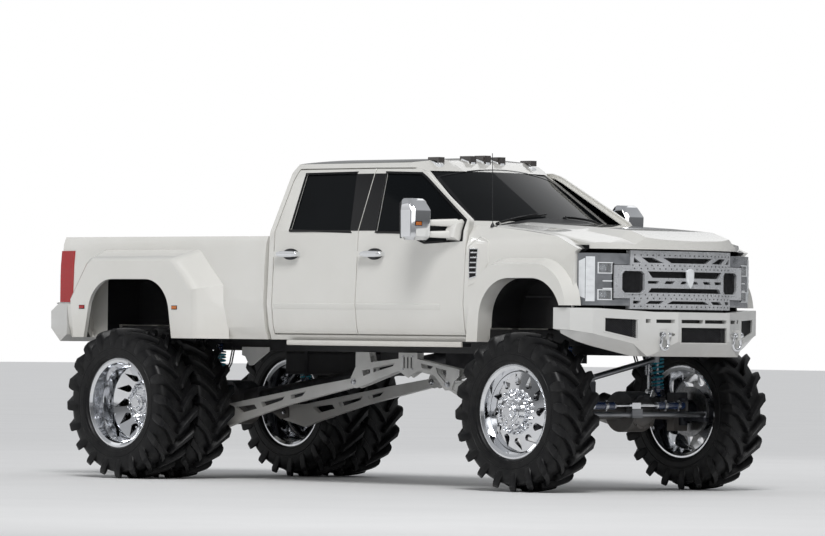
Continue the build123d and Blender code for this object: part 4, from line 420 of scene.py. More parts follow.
def grown(outline, amount):
    """Outline with each side moved outward by an amount."""
    sign = 1.0 if turned_area(outline) > 0 else -1.0
    lines = []
    for (x0, y0), (x1, y1) in zip(outline, outline[1:] + outline[:1]):
        way = Vector((x1 - x0, y1 - y0)).normalized()
        out = Vector((way.y, -way.x)) * sign
        lines.append((Vector((x0, y0)) + out * amount, way))
    corners = []
    for (p, d), (q, e) in zip([lines[-1]] + lines[:-1], lines):
        cross = d.x * e.y - d.y * e.x
        if abs(cross) < 1e-6:
            corners.append((q.x, q.y))
            continue
        share = ((q.x - p.x) * e.y - (q.y - p.y) * e.x) / cross
        corners.append((p.x + d.x * share, p.y + d.y * share))
    return corners


def split_at(outline, axis, level):
    """Outline with a point added where a side crosses a level on one axis."""
    points = []
    for a, b in zip(outline, outline[1:] + outline[:1]):
        points.append(a)
        if (a[axis] - level) * (b[axis] - level) < -1e-9:
            share = (level - a[axis]) / (b[axis] - a[axis])
            points.append((a[0] + (b[0] - a[0]) * share, a[1] + (b[1] - a[1]) * share))
    return points


def inside_span(outline, origin, way):
    """Stretch of a line that lies inside a convex outline, or None."""
    sign = 1.0 if turned_area(outline) > 0 else -1.0
    low, high = -50.0, 50.0
    for (x0, y0), (x1, y1) in zip(outline, outline[1:] + outline[:1]):
        out = (sign * (y1 - y0), sign * (x0 - x1))
        speed = way[0] * out[0] + way[1] * out[1]
        room = (x0 - origin[0]) * out[0] + (y0 - origin[1]) * out[1]
        if abs(speed) < 1e-9:
            if room < 0:
                return None
        elif speed > 0:
            high = min(high, room / speed)
        else:
            low = max(low, room / speed)
    return (low, high) if high - low > 0.004 else None


def add_mesh(bm, outline, place, level, pitch, wire, angles=(45.0, -45.0), step=0.06):
    """Crossed wires that fill a convex outline, each wire square in section."""
    centre = (sum(u for u, _ in outline) / len(outline), sum(v for _, v in outline) / len(outline))
    reach = max(sqrt((u - centre[0]) ** 2 + (v - centre[1]) ** 2) for u, v in outline)
    count = int(reach / pitch) + 1
    for number, angle in enumerate(angles):
        way = (cos(radians(angle)), sin(radians(angle)))
        across = (-way[1], way[0])
        depth = level - number * wire * 0.6
        for k in range(-count, count + 1):
            origin = (centre[0] + across[0] * k * pitch, centre[1] + across[1] * k * pitch)
            span = inside_span(outline, origin, way)
            if not span:
                continue
            parts = max(1, int((span[1] - span[0]) / step))
            rings = []
            for i in range(parts + 1):
                along = span[0] + (span[1] - span[0]) * i / parts
                u, v = origin[0] + way[0] * along, origin[1] + way[1] * along
                rings.append([
                    place(u + across[0] * side * wire / 2, v + across[1] * side * wire / 2, depth + w)
                    for side, w in ((-1, -wire / 2), (1, -wire / 2), (1, wire / 2), (-1, wire / 2))
                ])
            add_loft(bm, rings)


def side_place(u, v, w):
    """Outline in X and Z, thickness along Y."""
    return (u, w, v)


def front_place(u, v, w):
    """Outline in Y and Z, thickness along X."""
    return (w, u, v)


def cross_axes(axis):
    """Two unit vectors square to an axis."""
    first = axis.cross(Vector((0, 0, 1)))
    if first.length < 0.01:
        first = axis.cross(Vector((1, 0, 0)))
    first.normalize()
    return first, axis.cross(first).normalized()


def add_lathe(bm, origin, axis, profile, segments=48, closed=False, phase=0.0):
    """Turned form: profile of distance along the axis and radius."""
    origin, axis = Vector(placed(origin)), Vector(axis).normalized()
    first, second = cross_axes(axis)
    rings = []
    for along, radius in profile:
        centre = origin + axis * along
        if radius < 1e-6:
            rings.append([bm.verts.new(centre)])
            continue
        turns = [phase + 2 * pi * i / segments for i in range(segments)]
        rings.append([bm.verts.new(centre + (first * cos(t) + second * sin(t)) * radius) for t in turns])
    join_rings(bm, rings, closed)


def add_rod(bm, start, end, radius, segments=16):
    """Round bar with flat ends."""
    start, end = Vector(start), Vector(end)
    length = (end - start).length
    add_lathe(bm, start, end - start, [(0, 0), (0, radius), (length, radius), (length, 0)], segments)


def add_bolt(bm, origin, axis, size, height):
    """Hexagon head on a washer, with a domed top."""
    profile = [(-0.002, 0.0), (-0.002, size * 1.25), (height * 0.18, size * 1.25), (height * 0.18, 0.0)]
    add_lathe(bm, origin, axis, profile, 16)
    head = [(height * 0.18, 0.0), (height * 0.18, size), (height * 0.88, size), (height, size * 0.8),
        (height, 0.0)]
    add_lathe(bm, origin, axis, head, 6)


def add_tube(bm, points, radius, segments=10, closed=False):
    """Round tube along a line of points."""
    points = [Vector(placed(p)) for p in points]
    count = len(points)
    rings = []
    side = None
    for i, point in enumerate(points):
        if closed:
            ahead = points[(i + 1) % count] - points[i - 1]
        else:
            ahead = points[min(i + 1, count - 1)] - points[max(i - 1, 0)]
        ahead.normalize()
        if side is None:
            side, _ = cross_axes(ahead)
        side = (side - ahead * side.dot(ahead)).normalized()
        up = ahead.cross(side)
        turns = [2 * pi * k / segments for k in range(segments)]
        rings.append([bm.verts.new(point + (side * cos(t) + up * sin(t)) * radius) for t in turns])
    join_rings(bm, rings, closed)
    if not closed:
        bm.faces.new(list(reversed(rings[0])))
        bm.faces.new(rings[-1])


def piece(name, bm, material, body="chassis", bevel=0.0, segments=2, smooth=35.0,
          replaced=()):
    """Turns a bmesh into a named piece on a body and leaves the bmesh empty."""
    bmesh.ops.recalc_face_normals(bm, faces=bm.faces)
    mesh = bpy.data.meshes.new(name)
    bm.to_mesh(mesh)
    bm.clear()
    made = bpy.data.objects.new(name, mesh)
    bpy.context.scene.collection.objects.link(made)
    mesh.materials.append(material)
    mesh.shade_smooth()
    mesh.set_sharp_from_angle(angle=radians(smooth))
    if bevel:
        edge = made.modifiers.new("edges", "BEVEL")
        edge.width = bevel
        edge.segments = segments
        edge.limit_method = "ANGLE"
        edge.angle_limit = radians(smooth)
        edge.harden_normals = True
    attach(made, body)
    if replaced:
        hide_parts(*replaced)
    return made


def mirrored(points, sign):
    """Points with Y mirrored by a sign."""
    return [(x, sign * y, z) for x, y, z in points]


def rect(u0, v0, u1, v1):
    """Rectangle between two corners."""
    return [(u0, v0), (u1, v0), (u1, v1), (u0, v1)]


def flip(outline, sign):
    """Outline with its first coordinate mirrored by a sign."""
    return [(sign * y, z) for y, z in outline]


def collar(height, inner, outer):
    """Profile of a plain ring, or of a disc with an inner radius of 0."""
    return [(0.0, inner), (0.0, outer), (height, outer), (height, inner)]


def knob(height, foot, top):
    """Profile of a tapered knob."""
    return [(0.0, 0.0), (0.0, foot), (height, top), (height, 0.0)]


def circle(centre, first, second, radius, count):
    """Points round a circle in the plane of two vectors."""
    turns = [2 * pi * i / count for i in range(count)]
    return [centre + (first * cos(t) + second * sin(t)) * radius for t in turns]


def flat_box(bm, x0, x1, y0, y1, z0, z1, sign=1):
    """Box whose Y range is mirrored by a sign."""
    low_y, high_y = sorted((sign * y0, sign * y1))
    add_block(bm, (x0, low_y, z0), (x1, high_y, z1))


# Corners of a lengthened octagon, as shares of its half length and half width
octagon = ((-1, -0.5), (-0.6, -1), (0.6, -1), (1, -0.5), (1, 0.5), (0.6, 1), (-0.6, 1), (-1, 0.5))
belt_z = 2.08


# Half width of the cab and doors. Columns: height, half width
skin_table = [(1.187, 0.955), (1.29, 0.992), (1.478, 1.016), (2.08, 0.985), (2.56, 0.8), (2.645, 0.745)]
# Half width of the front fenders
fender_table = [(1.187, 0.955), (1.29, 0.992), (1.478, 1.016), (1.8, 1.004), (1.95, 0.988), (2.04, 0.958),
    (2.126, 0.9)]


def line_at(table, value):
    """Second column of a table at a value of the first, along straight lines."""
    for (v0, w0), (v1, w1) in zip(table, table[1:]):
        if value <= v1:
            return w0 + (w1 - w0) * (value - v0) / (v1 - v0)
    return table[-1][1]


def skin_place(sign, table=skin_table):
    """Placing function on a body side: outline in X and Z, thickness outward from the skin."""
    def place(u, v, w):
        return (u, sign * (line_at(table, v) + w), v)
    return place


# Tyres: rounded carcass with two rows of swept lugs that meet near the middle

tyre_low, tyre_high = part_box("tyre_front_right")
tyre_half = (tyre_high[1] - tyre_low[1]) / 2
tyre_radius = axle_z - 0.0005
lug_count = 20
carcass_radius = tyre_radius - 0.046
# Columns: distance from the middle plane, radius
carcass_half = [(0.0, carcass_radius), (0.08, carcass_radius - 0.001), (0.14, carcass_radius - 0.006),
    (0.166, carcass_radius - 0.016), (0.181, carcass_radius - 0.034), (0.188, carcass_radius - 0.065),
    (0.19, 0.5), (0.191, 0.466), (0.188, 0.463), (0.188, 0.456), (0.192, 0.453), (0.192, 0.43), (0.19, 0.41),
    (0.187, 0.409), (0.185, 0.402), (0.187, 0.4), (0.182, 0.388), (0.172, 0.381), (0.162, 0.376)]
# Stations of a lug from the middle, over the shoulder and down the side wall.
# Columns: foot distance out, foot radius, top distance out, top radius, turn in degrees, half thickness
lug_stations = [
    (0.006, 0.585, 0.007, 0.626, -8.9, 0.019), (0.016, 0.585, 0.016, tyre_radius, -8.3, 0.026),
    (0.05, 0.585, 0.05, tyre_radius, -4.2, 0.027), (0.1, 0.582, 0.1, tyre_radius - 0.001, 0.8, 0.029),
    (0.15, 0.572, 0.151, tyre_radius - 0.005, 4.9, 0.032), (0.172, 0.556, 0.184, 0.626, 7.0, 0.035),
    (0.18, 0.536, 0.201, 0.602, 8.2, 0.037), (0.186, 0.516, tyre_half, 0.568, 9.0, 0.036),
    (0.188, 0.496, tyre_half - 0.002, 0.532, 9.6, 0.032), (0.189, 0.474, 0.195, 0.486, 10.0, 0.024),
]
# Section of a lug. Columns: share of the half thickness, share of the height
lug_section = [(-1.35, 0.0), (-1.02, 0.84), (-0.78, 1.0), (0.78, 1.0), (1.02, 0.84), (1.35, 0.0)]


def build_tyre(name, x, y, body):
    """Tyre at a wheel's place."""
    profile = [(-out, radius) for out, radius in reversed(carcass_half[1:])] + carcass_half
    bore = [(0.15, 0.372), (-0.15, 0.372)]
    add_lathe(bm, (x, y, axle_z), (0, 1, 0), profile + bore, segments=96, closed=True)
    for side in (-1, 1):
        for turn in range(lug_count):
            start = radians(360.0 / lug_count * (turn + side / 4))
            rings = []
            for foot_out, foot, top_out, top, lead, half in lug_stations:
                ring = []
                for across, up in lug_section:
                    radius = foot + (top - foot) * up
                    out = foot_out + (top_out - foot_out) * up
                    angle = start + radians(lead) + across * half / tyre_radius
                    ring.append((x + radius * cos(angle), y + side * out, axle_z + radius * sin(angle)))
                rings.append(ring)
            add_loft(bm, rings)
    piece(f"{name}_tread", bm, rubber, body, bevel=0.0045, smooth=30.0, replaced=(name,))


tyre_places = [
    ("tyre_front_left", 0.0, front_wheel_y, "front_left_wheel"),
    ("tyre_front_right", 0.0, -front_wheel_y, "front_right_wheel"),
    ("tyre_rear_left_outer", -wheelbase, twin_outer_y, "rear_left_wheels"),
    ("tyre_rear_left_inner", -wheelbase, twin_inner_y, "rear_left_wheels"),
    ("tyre_rear_right_outer", -wheelbase, -twin_outer_y, "rear_right_wheels"),
    ("tyre_rear_right_inner", -wheelbase, -twin_inner_y, "rear_right_wheels"),
]
for name, x, y, body in tyre_places:
    build_tyre(name, x, y, body)


# Wheel hardware: rings of tall nuts, stepped hubs, brake rotors and calipers

def around(x, sign, y, radius, share):
    """Point on a circle round the axle line; share of a turn."""
    return (x + radius * cos(2 * pi * share), sign * y, axle_z + radius * sin(2 * pi * share))


def nut_ring(bm, x, sign, y, radius, count, size, length, offset=0.0):
    """Ring of tall hexagon nuts with tapered tips, pointing outward."""
    for i in range(count):
        start = around(x, sign, y, radius, (i + offset) / count)
        profile = [(-0.004, 0.0), (-0.004, size * 1.3), (length * 0.12, size * 1.3), (length * 0.14, size),
            (length * 0.62, size), (length * 0.78, size * 0.72), (length, size * 0.5), (length, 0.0)]
        add_lathe(bm, start, (0, sign, 0), profile, 6, phase=i)


# Columns: start on the axle line, radii of bore, disc, vent and hat, end of the hat, its outer radius
rotor_sizes = {"front": (0.905, 0.096, 0.205, 0.12, 0.13, 0.976, 0.118),
    "rear": (0.762, 0.1, 0.195, 0.125, 0.135, 0.872, 0.13)}
for axle, x, disc_y, hub_y in (("front", 0.0, 1.094, 1.161), ("rear", -wheelbase, 1.026, 1.1215)):
    for sign, side in sides:
        body = f"{axle}_{side}_wheel" + ("s" if axle == "rear" else "")
        nut_ring(bm, x, sign, disc_y, 0.17 if axle == "front" else 0.186, 20, 0.013, 0.052)
        nut_ring(bm, x, sign, hub_y - 0.012, 0.122, 10, 0.0145, 0.044, 0.5)
        piece(f"hub_nuts_{axle}_{side}", bm, chrome, body, bevel=0.0012, smooth=25.0)
        cap = [(-0.006, 0.0), (-0.006, 0.092), (0.01, 0.092), (0.014, 0.086), (0.014, 0.074), (0.034, 0.07),
               (0.038, 0.066), (0.038, 0.046), (0.05, 0.043), (0.054, 0.038), (0.054, 0.0)]
        add_lathe(bm, (x, sign * hub_y, axle_z), (0, sign, 0), cap, 40)
        for i in range(8):
            add_bolt(bm, around(x, sign, hub_y + 0.038, 0.056, i / 8), (0, sign, 0), 0.0062, 0.008)
            add_bolt(bm, around(x, sign, hub_y + 0.014, 0.08, (i + 0.5) / 8), (0, sign, 0), 0.0055, 0.007)
        piece(f"hub_cap_{axle}_{side}", bm, wheel_chrome, body, bevel=0.001, smooth=28.0)
        # Rotor and hat on the inner side
        start, bore, disc, vent, hat, hat_end, hat_radius = rotor_sizes[axle]
        rotor = [(start, bore), (start, disc), (start + 0.008, disc), (start + 0.008, vent),
            (start + 0.016, vent), (start + 0.016, disc), (start + 0.024, disc), (start + 0.024, hat),
            (hat_end, hat_radius), (hat_end, bore)]
        add_lathe(bm, (x, 0, axle_z), (0, sign, 0), rotor, 56, closed=True)
        piece(f"brake_rotor_{axle}_{side}", bm, rotor_steel, body, bevel=0.0015, smooth=30.0)
        # Caliper: two bridges with pistons, fixed beside the rotor
        middle_y = 0.917 if axle == "front" else 0.774
        carrier = f"{side}_knuckle" if axle == "front" else "chassis"
        for low, high in ((-0.042, -0.016), (0.016, 0.046)):
            shoe = [(x + along, axle_z + up) for along, up in (
                (-0.222, -0.082), (-0.15, -0.1), (-0.098, -0.06), (-0.088, 0.05), (-0.14, 0.104),
                (-0.216, 0.092))]
            add_prism(bm, shoe, side_place, sign * (middle_y + low), sign * (middle_y + high))
        bridge = [(x - 0.234, axle_z - 0.07), (x - 0.212, axle_z - 0.078), (x - 0.212, axle_z + 0.086),
            (x - 0.234, axle_z + 0.08)]
        add_prism(bm, bridge, side_place, sign * (middle_y - 0.042), sign * (middle_y + 0.046))
        for z in (-0.04, 0.044):
            add_lathe(bm, (x - 0.16, sign * (middle_y - 0.042), axle_z + z), (0, -sign, 0),
                [(0, 0), (0, 0.03), (0.012, 0.028), (0.014, 0.02), (0.014, 0)], 24)
        piece(f"brake_caliper_{axle}_{side}", bm, cast_dark, carrier, bevel=0.005)


# Side windows, door trim and handles

front_window = [(-1.742, 2.082), (-1.811, 2.558), (-1.4, 2.546), (-1.332, 2.512), (-0.742, 2.16),
    (-0.752, 2.01), (-1.171, 1.99), (-1.42, 2.072)]
rear_window = [(-2.766, 2.1), (-2.764, 2.554), (-2.166, 2.56), (-2.048, 2.082)]
b_post = {
    "rear": [(-2.044, 2.084), (-2.16, 2.557), (-1.9555, 2.557), (-1.9555, 2.084)],
    "front": [(-1.9445, 2.084), (-1.9445, 2.557), (-1.815, 2.557), (-1.745, 2.084)],
}
handle_z = 1.893
# Columns: place along the handle, half height, inner and outer half width of the truck
handle_half = [(0.06, 0.025, 1.034, 1.0605), (0.112, 0.021, 1.026, 1.058), (0.124, 0.012, 1.03, 1.046)]
handle_stations = [(-along, *rest) for along, *rest in reversed(handle_half)]
handle_stations += [(0.0, 0.0255, 1.036, 1.0615), *handle_half]
handle_places = {"front": -1.745, "rear": -2.745}
for sign, side in sides:
    for place_name, window in (("front", front_window), ("rear", rear_window)):
        body = f"{place_name}_{side}_door"
        place = skin_place(sign)
        add_frame(bm, split_at(window, 1, belt_z), 0.017, place, -0.01, 0.0025)
        piece(f"window_seal_{place_name}_{side}", bm, gloss_black, body=body, bevel=0.001)
        add_prism(bm, b_post[place_name], place, 0.0005, 0.0035)
        piece(f"post_cover_{place_name}_{side}", bm, gloss_black, body=body, bevel=0.0012)
        # Pull handle over its two feet, with a shallow cup behind it
        x = handle_places[place_name]
        add_loft(bm, [
            [(x + along, sign * y, handle_z + z) for y, z in (
                (low_y, -half_z), (high_y - 0.006, -half_z), (high_y, -half_z * 0.6), (high_y, half_z * 0.6),
                (high_y - 0.006, half_z), (low_y, half_z))]
            for along, half_z, low_y, high_y in handle_stations])
        for end in (-0.098, 0.098):
            flat_box(bm, x + end - 0.018, x + end + 0.018, 0.988, 1.04, 1.876, 1.91, sign)
        piece(f"handle_{place_name}_{side}", bm, chrome, body, bevel=0.003)
        # The cup is dark steel for painted shade and a painted dark reflection in the recess behind the
        # handle
        cup = [(x + 0.088 * cos(2 * pi * i / 28), handle_z + 0.04 * sin(2 * pi * i / 28)) for i in range(28)]
        add_frame(bm, cup, 0.007, place, -0.002, 0.0022)
        add_prism(bm, cup, place, -0.006, 0.0007)
        piece(f"handle_cup_{place_name}_{side}", bm, dark_steel, body, bevel=0.0006)
        # Rubber sweep along the window's foot
        low_x, high_x, z = (-1.735, -1.43, 2.07) if place_name == "front" else (-2.77, -2.05, 2.084)
        add_prism(bm, rect(low_x, z - 0.008, high_x, z + 0.006), place, 0.0, 0.006)
        piece(f"window_sweep_{place_name}_{side}", bm, trim_rubber, body=body, bevel=0.0015)


# Towing mirrors: chamfered bright head, glass in a black bezel, two arms and a foot on the door

def mirror_ring(sign, z, x_low, x_high, y_low, y_high, corner):
    """Level ring of a mirror head with its corners cut."""
    corners = [(x_low, y_low + corner), (x_low, y_high - corner), (x_low + corner, y_high),
        (x_high - corner, y_high), (x_high, y_high - corner), (x_high, y_low + corner),
        (x_high - corner, y_low), (x_low + corner, y_low)]
    return [(x, sign * y, z) for x, y in corners]


for sign, side in sides:
    body = f"front_{side}_door"
    add_loft(bm, [
        mirror_ring(sign, 1.999, -1.08, -0.965, 1.156, 1.33, 0.02),
        mirror_ring(sign, 2.026, -1.104, -0.934, 1.136, 1.354, 0.028),
        mirror_ring(sign, 2.232, -1.104, -0.929, 1.13, 1.357, 0.028),
        mirror_ring(sign, 2.242, -1.104, -0.932, 1.13, 1.357, 0.028),
        mirror_ring(sign, 2.318, -1.104, -0.99, 1.142, 1.34, 0.024),
        mirror_ring(sign, 2.335, -1.098, -1.012, 1.158, 1.322, 0.018),
    ])
    piece(f"mirror_shell_{side}", bm, chrome, body, bevel=0.006, segments=3,
          replaced=(f"mirror_{side}",))
    glass_low = [(1.152, 2.1), (1.326, 2.1), (1.326, 2.292), (1.3, 2.318), (1.176, 2.318), (1.152, 2.292)]
    glass_high = [(1.156, 2.022), (1.32, 2.022), (1.326, 2.088), (1.152, 2.088)]
    for outline in (glass_low, glass_high):
        add_frame(bm, flip(outline, sign), 0.008, front_place, -1.113, -1.1)
    piece(f"mirror_bezel_{side}", bm, moulded, body=body, bevel=0.002)
    for outline in (glass_low, glass_high):
        add_prism(bm, flip(outline, sign), front_place, -1.109, -1.102)
    piece(f"mirror_panes_{side}", bm, mirror_glass, body, bevel=0.001)
    # Marker slot: dark frame that wraps the outer corner, amber lens inside
    slot_line = flip(rect(1.262, 2.118, 1.328, 2.146), sign)
    add_frame(bm, slot_line, 0.005, front_place, -0.936, -0.9275)
    piece(f"mirror_marker_frame_{side}", bm, gloss_black, body=body, bevel=0.0012)
    add_prism(bm, slot_line, front_place, -0.938, -0.929)
    piece(f"mirror_marker_{side}", bm, amber_lens, body, bevel=0.001)
    for z in (2.048, 2.142):
        add_loft(bm, [
            [(-0.812 - 0.195 * share + a * (0.046 - 0.016 * share), sign * (1.0 + 0.15 * share),
              z + b * (0.033 - 0.009 * share)) for a, b in octagon]
            for share in (0.0, 0.35, 1.0)])
    foot = [(-0.905, 2.004), (-0.765, 1.998), (-0.752, 2.15), (-0.78, 2.172), (-0.862, 2.164),
            (-0.892, 2.11)]
    foot, skin = split_at(foot, 1, belt_z), skin_place(sign)
    tip = [(u * 0.72 - 0.822 * 0.28, v * 0.72 + 2.092 * 0.28) for u, v in foot]
    add_loft(bm, [[skin(*p, w) for p in line] for line, w in ((foot, -0.006), (foot, 0.016), (tip, 0.058))])
    piece(f"mirror_arms_{side}", bm, pearl, body, bevel=0.004)


# Grille: mesh behind every opening, rows of rivets and a blank shield at the centre

grille_x = 0.738
grille_half = 0.582
grille_bow = 0.1
ear_half = 0.741
grille_low_z = 1.462
grille_radius = (grille_half ** 2 + grille_bow ** 2) / (2 * grille_bow)


def grille_face(y):
    """X of the grille's bowed face."""
    if abs(y) > grille_half - 0.022:
        return grille_x + 0.007 - (abs(y) - grille_half + 0.022) * 0.029 / (ear_half - grille_half + 0.022)
    return grille_x + grille_bow - grille_radius + sqrt(grille_radius ** 2 - y ** 2)


def grille_place(u, v, w):
    """Outline in Y and Z on the grille's face, thickness forward."""
    return (grille_face(u) + w, u, v)


# Openings. Columns: low and high Z above the lower edge, then inner and outer Y as shares of the half
# width along the low edge and the high edge
grille_openings = [
    (0.367, 0.409, 0.845, 0.95, 0.946, 0.95), (0.367, 0.409, 0.481, 0.722, 0.663, 0.832),
    (0.367, 0.409, -0.344, 0.344, -0.49, 0.49), (0.249, 0.3, -0.663, 0.663, -0.735, 0.735),
    (0.202, 0.224, 0.572, 0.734, 0.553, 0.734), (0.202, 0.224, 0.311, 0.464, 0.28, 0.435),
    (0.202, 0.224, 0.069, 0.18, 0.038, 0.148), (0.131, 0.167, -0.732, 0.732, -0.677, 0.677),
    (0.042, 0.066, 0.869, 0.955, 0.838, 0.955), (0.042, 0.066, 0.521, 0.766, 0.471, 0.703),
    (0.042, 0.066, -0.421, 0.421, -0.326, 0.326),
]
for low_z, high_z, low_in, low_out, high_in, high_out in grille_openings:
    shares = ((low_in, low_z), (low_out, low_z), (high_out, high_z), (high_in, high_z))
    outline = [(share * grille_half, grille_low_z + z) for share, z in shares]
    for sign in (1, -1) if low_in > 0 else (1,):
        add_mesh(bm, flip(outline, sign), grille_place, -0.026, 0.011, 0.0032)
panel = [(0.483, 1.59), (0.642, 1.59), (0.666, 1.614), (0.666, 1.738), (0.642, 1.762), (0.483, 1.762),
    (0.459, 1.738), (0.459, 1.614)]
for sign in (1, -1):
    add_mesh(bm, flip(panel, sign), grille_place, -0.018, 0.01, 0.0032)
piece("grille_mesh", bm, mesh_black)

for sign in (1, -1):
    add_frame(bm, flip(panel, sign), 0.01, grille_place, -0.004, 0.0045)
piece("grille_panel_frames", bm, grille_silver, bevel=0.0012)

# Rivet rows. Columns: height, half width reached, count, start as a share of a step
rivet_rows = [
    (1.89, 0.545, 21, 0.0), (1.809, 0.56, 21, 0.5), (1.783, 0.545, 20, 0.0), (1.576, 0.56, 21, 0.5),
    (1.547, 0.545, 20, 0.0), (1.484, 0.545, 20, 0.5),
]
for z, reach, count, shift in rivet_rows:
    for i in range(count):
        y = -reach + 2 * reach * i / (count - 1)
        add_lathe(bm, grille_place(y, z, -0.001), (1, y * 0.35, 0),
            [(0, 0), (0, 0.0062), (0.002, 0.006), (0.0042, 0.0035), (0.0048, 0)], 10)
piece("grille_rivets", bm, dark_steel)

shield = [(-0.042, 1.765), (-0.03, 1.782), (0.0, 1.79), (0.03, 1.782), (0.042, 1.765), (0.04, 1.69),
    (0.022, 1.65), (0.0, 1.628), (-0.022, 1.65), (-0.04, 1.69)]
add_loft(bm, [[grille_place(y, z, -0.004) for y, z in shield], [grille_place(y, z, 0.012) for y, z in shield],
    [grille_place(y * 0.72, 1.712 + (z - 1.712) * 0.78, 0.02) for y, z in shield]])
piece("grille_shield", bm, lamp_white, bevel=0.0015)

# Radiator core: rows of fins in front of the block
radiator_low, radiator_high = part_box("radiator")
for k in range(46):
    z = radiator_low[2] + 0.03 + k * (radiator_high[2] - radiator_low[2] - 0.05) / 46
    add_block(bm, (0.69, -0.54, z), (0.694, 0.54, z + 0.004))
piece("radiator_fins", bm, dark_steel)


# Headlamps: bright frames round the square lamps, light bars, ribbed corner lens

# Columns: distance from the middle, X of the lamp's face
lamp_sweep = [(0.74, 0.706), (0.89, 0.648), (0.95, 0.6), (0.97, 0.53)]


def lamp_face(sign):
    """Placing function on the slanted front of a headlamp."""
    def place(u, v, w):
        return (line_at(lamp_sweep, abs(u)) + w, sign * abs(u), v)
    return place


def brow_face(sign):
    """Placing function above a headlamp, level over the grille's ear."""
    def place(u, v, w):
        return (0.706 - max(u - 0.74, -0.06) * 0.058 / 0.15 + w, sign * u, v)
    return place


# Square lamps. Columns: low and high Z
lamp_squares = [(1.536, 1.606), (1.745, 1.821)]
for sign, side in sides:
    place = lamp_face(sign)
    for low_z, high_z in lamp_squares:
        add_frame(bm, rect(0.757, low_z + 0.001, 0.862, high_z - 0.001), 0.0085, place, -0.01, 0.004)
    for z in (1.62, 1.68):
        add_prism(bm, rect(0.752, z - 0.005, 0.828, z + 0.005), place, -0.004, 0.004)
    piece(f"lamp_frames_{side}", bm, lamp_white, bevel=0.0015)
    for low_z, high_z in lamp_squares:
        origin = place(0.8095, (low_z + high_z) / 2, -0.03)
        bowl = [(-0.004, 0.0), (-0.004, 0.034), (0.012, 0.033), (0.012, 0.029), (0.004, 0.024), (0.004, 0.0)]
        for profile in (bowl, [(0.004, 0.022), (0.01, 0.018), (0.014, 0.01), (0.015, 0.0)]):
            add_lathe(bm, origin, (1, sign * 0.35, 0), profile, 32)
    piece(f"lamp_projectors_{side}", bm, chrome)
    for low_z, high_z in lamp_squares:
        add_prism(bm, rect(0.757, low_z, 0.862, high_z), place, -0.004, -0.001)
    piece(f"lamp_panes_{side}", bm, clear_lens)
    add_prism(bm, rect(0.893, 1.518, 0.9485, 1.872), place, -0.001, 0.004)
    add_prism(bm, [(0.9515, 1.54), (0.9665, 1.562), (0.9665, 1.836), (0.9515, 1.86)], place, -0.001, 0.004)
    for k in range(5):
        add_prism(bm, rect(0.9, 1.59 + k * 0.05, 0.942, 1.618 + k * 0.05), place, 0.003, 0.0075)
    piece(f"lamp_ribs_{side}", bm, lamp_white, bevel=0.001)
    for k in range(5):
        z = 1.845 + k * 0.009
        add_prism(bm, rect(0.64 + k * 0.004, z, 0.87, z + 0.003), brow_face(sign), -0.003, 0.002)
    piece(f"lamp_brow_{side}", bm, lamp_grey, bevel=0.0006)


# Dark stepped gap between the lamps and the grille
for sign in (1, -1):
    for low_y, high_y, low_z, high_z in (
            (0.583, 0.596, 1.492, 1.544), (0.583, 0.596, 1.809, 1.894), (0.583, 0.752, 1.533, 1.5445),
            (0.583, 0.752, 1.8085, 1.82), (0.7415, 0.754, 1.533, 1.82)):
        flat_box(bm, 0.56, 0.7085 if high_y < 0.7 else 0.7075, low_y, high_y, low_z, high_z, sign)
piece("lamp_gaps", bm, gloss_black, bevel=0.001)


# Front bumper: mesh windows over black backs, slot backs, tow shackles, bolts

# Columns: distance from the middle, X of the bumper's face
bumper_sweep = [(0.0, 1.0), (0.3, 1.0), (0.47, 0.905), (0.95, 0.69)]
bumper_fold_z = 1.205


def bumper_face(sign):
    """Placing function on the bumper's front, which sweeps back from the centre and below its fold."""
    def place(u, v, w):
        x = line_at(bumper_sweep, abs(u)) - max(bumper_fold_z - v, 0.0) * 0.12 / 0.117
        return (x + w, sign * u, v)
    return place


wing_window = [(0.606, 1.228), (0.857, 1.286), (0.857, 1.388), (0.606, 1.378)]
centre_window = rect(-0.262, 1.2, 0.262, 1.318)
slot_rows = [(0.01, 0.262, 1.353, 1.381), (0.323, 0.459, 1.353, 1.381), (0.5, 0.54, 1.353, 1.383)]
for sign in (1, -1):
    add_mesh(bm, wing_window, bumper_face(sign), -0.016, 0.013, 0.0042)
add_mesh(bm, centre_window, front_place, 0.985, 0.013, 0.0042)
piece("bumper_mesh", bm, mesh_black)
for sign in (1, -1):
    place = bumper_face(sign)
    add_prism(bm, grown(wing_window, -0.001), place, -0.066, -0.058)
    for low_y, high_y, low_z, high_z in slot_rows:
        add_prism(bm, grown(rect(low_y, low_z, high_y, high_z), -0.001), place, -0.05, -0.044)
add_prism(bm, grown(centre_window, -0.001), front_place, 0.925, 0.932)
piece("bumper_backs", bm, moulded)

for sign in (1, -1):
    place = bumper_face(sign)
    add_frame(bm, wing_window, 0.012, place, -0.004, 0.0025)
    for u, v in grown(wing_window, 0.006):
        add_bolt(bm, place(u, v, 0.0025), (1, sign * 0.45, 0), 0.0045, 0.004)
add_frame(bm, centre_window, 0.011, front_place, 0.992, 0.9995)
piece("bumper_window_rims", bm, plate_white, bevel=0.0008)

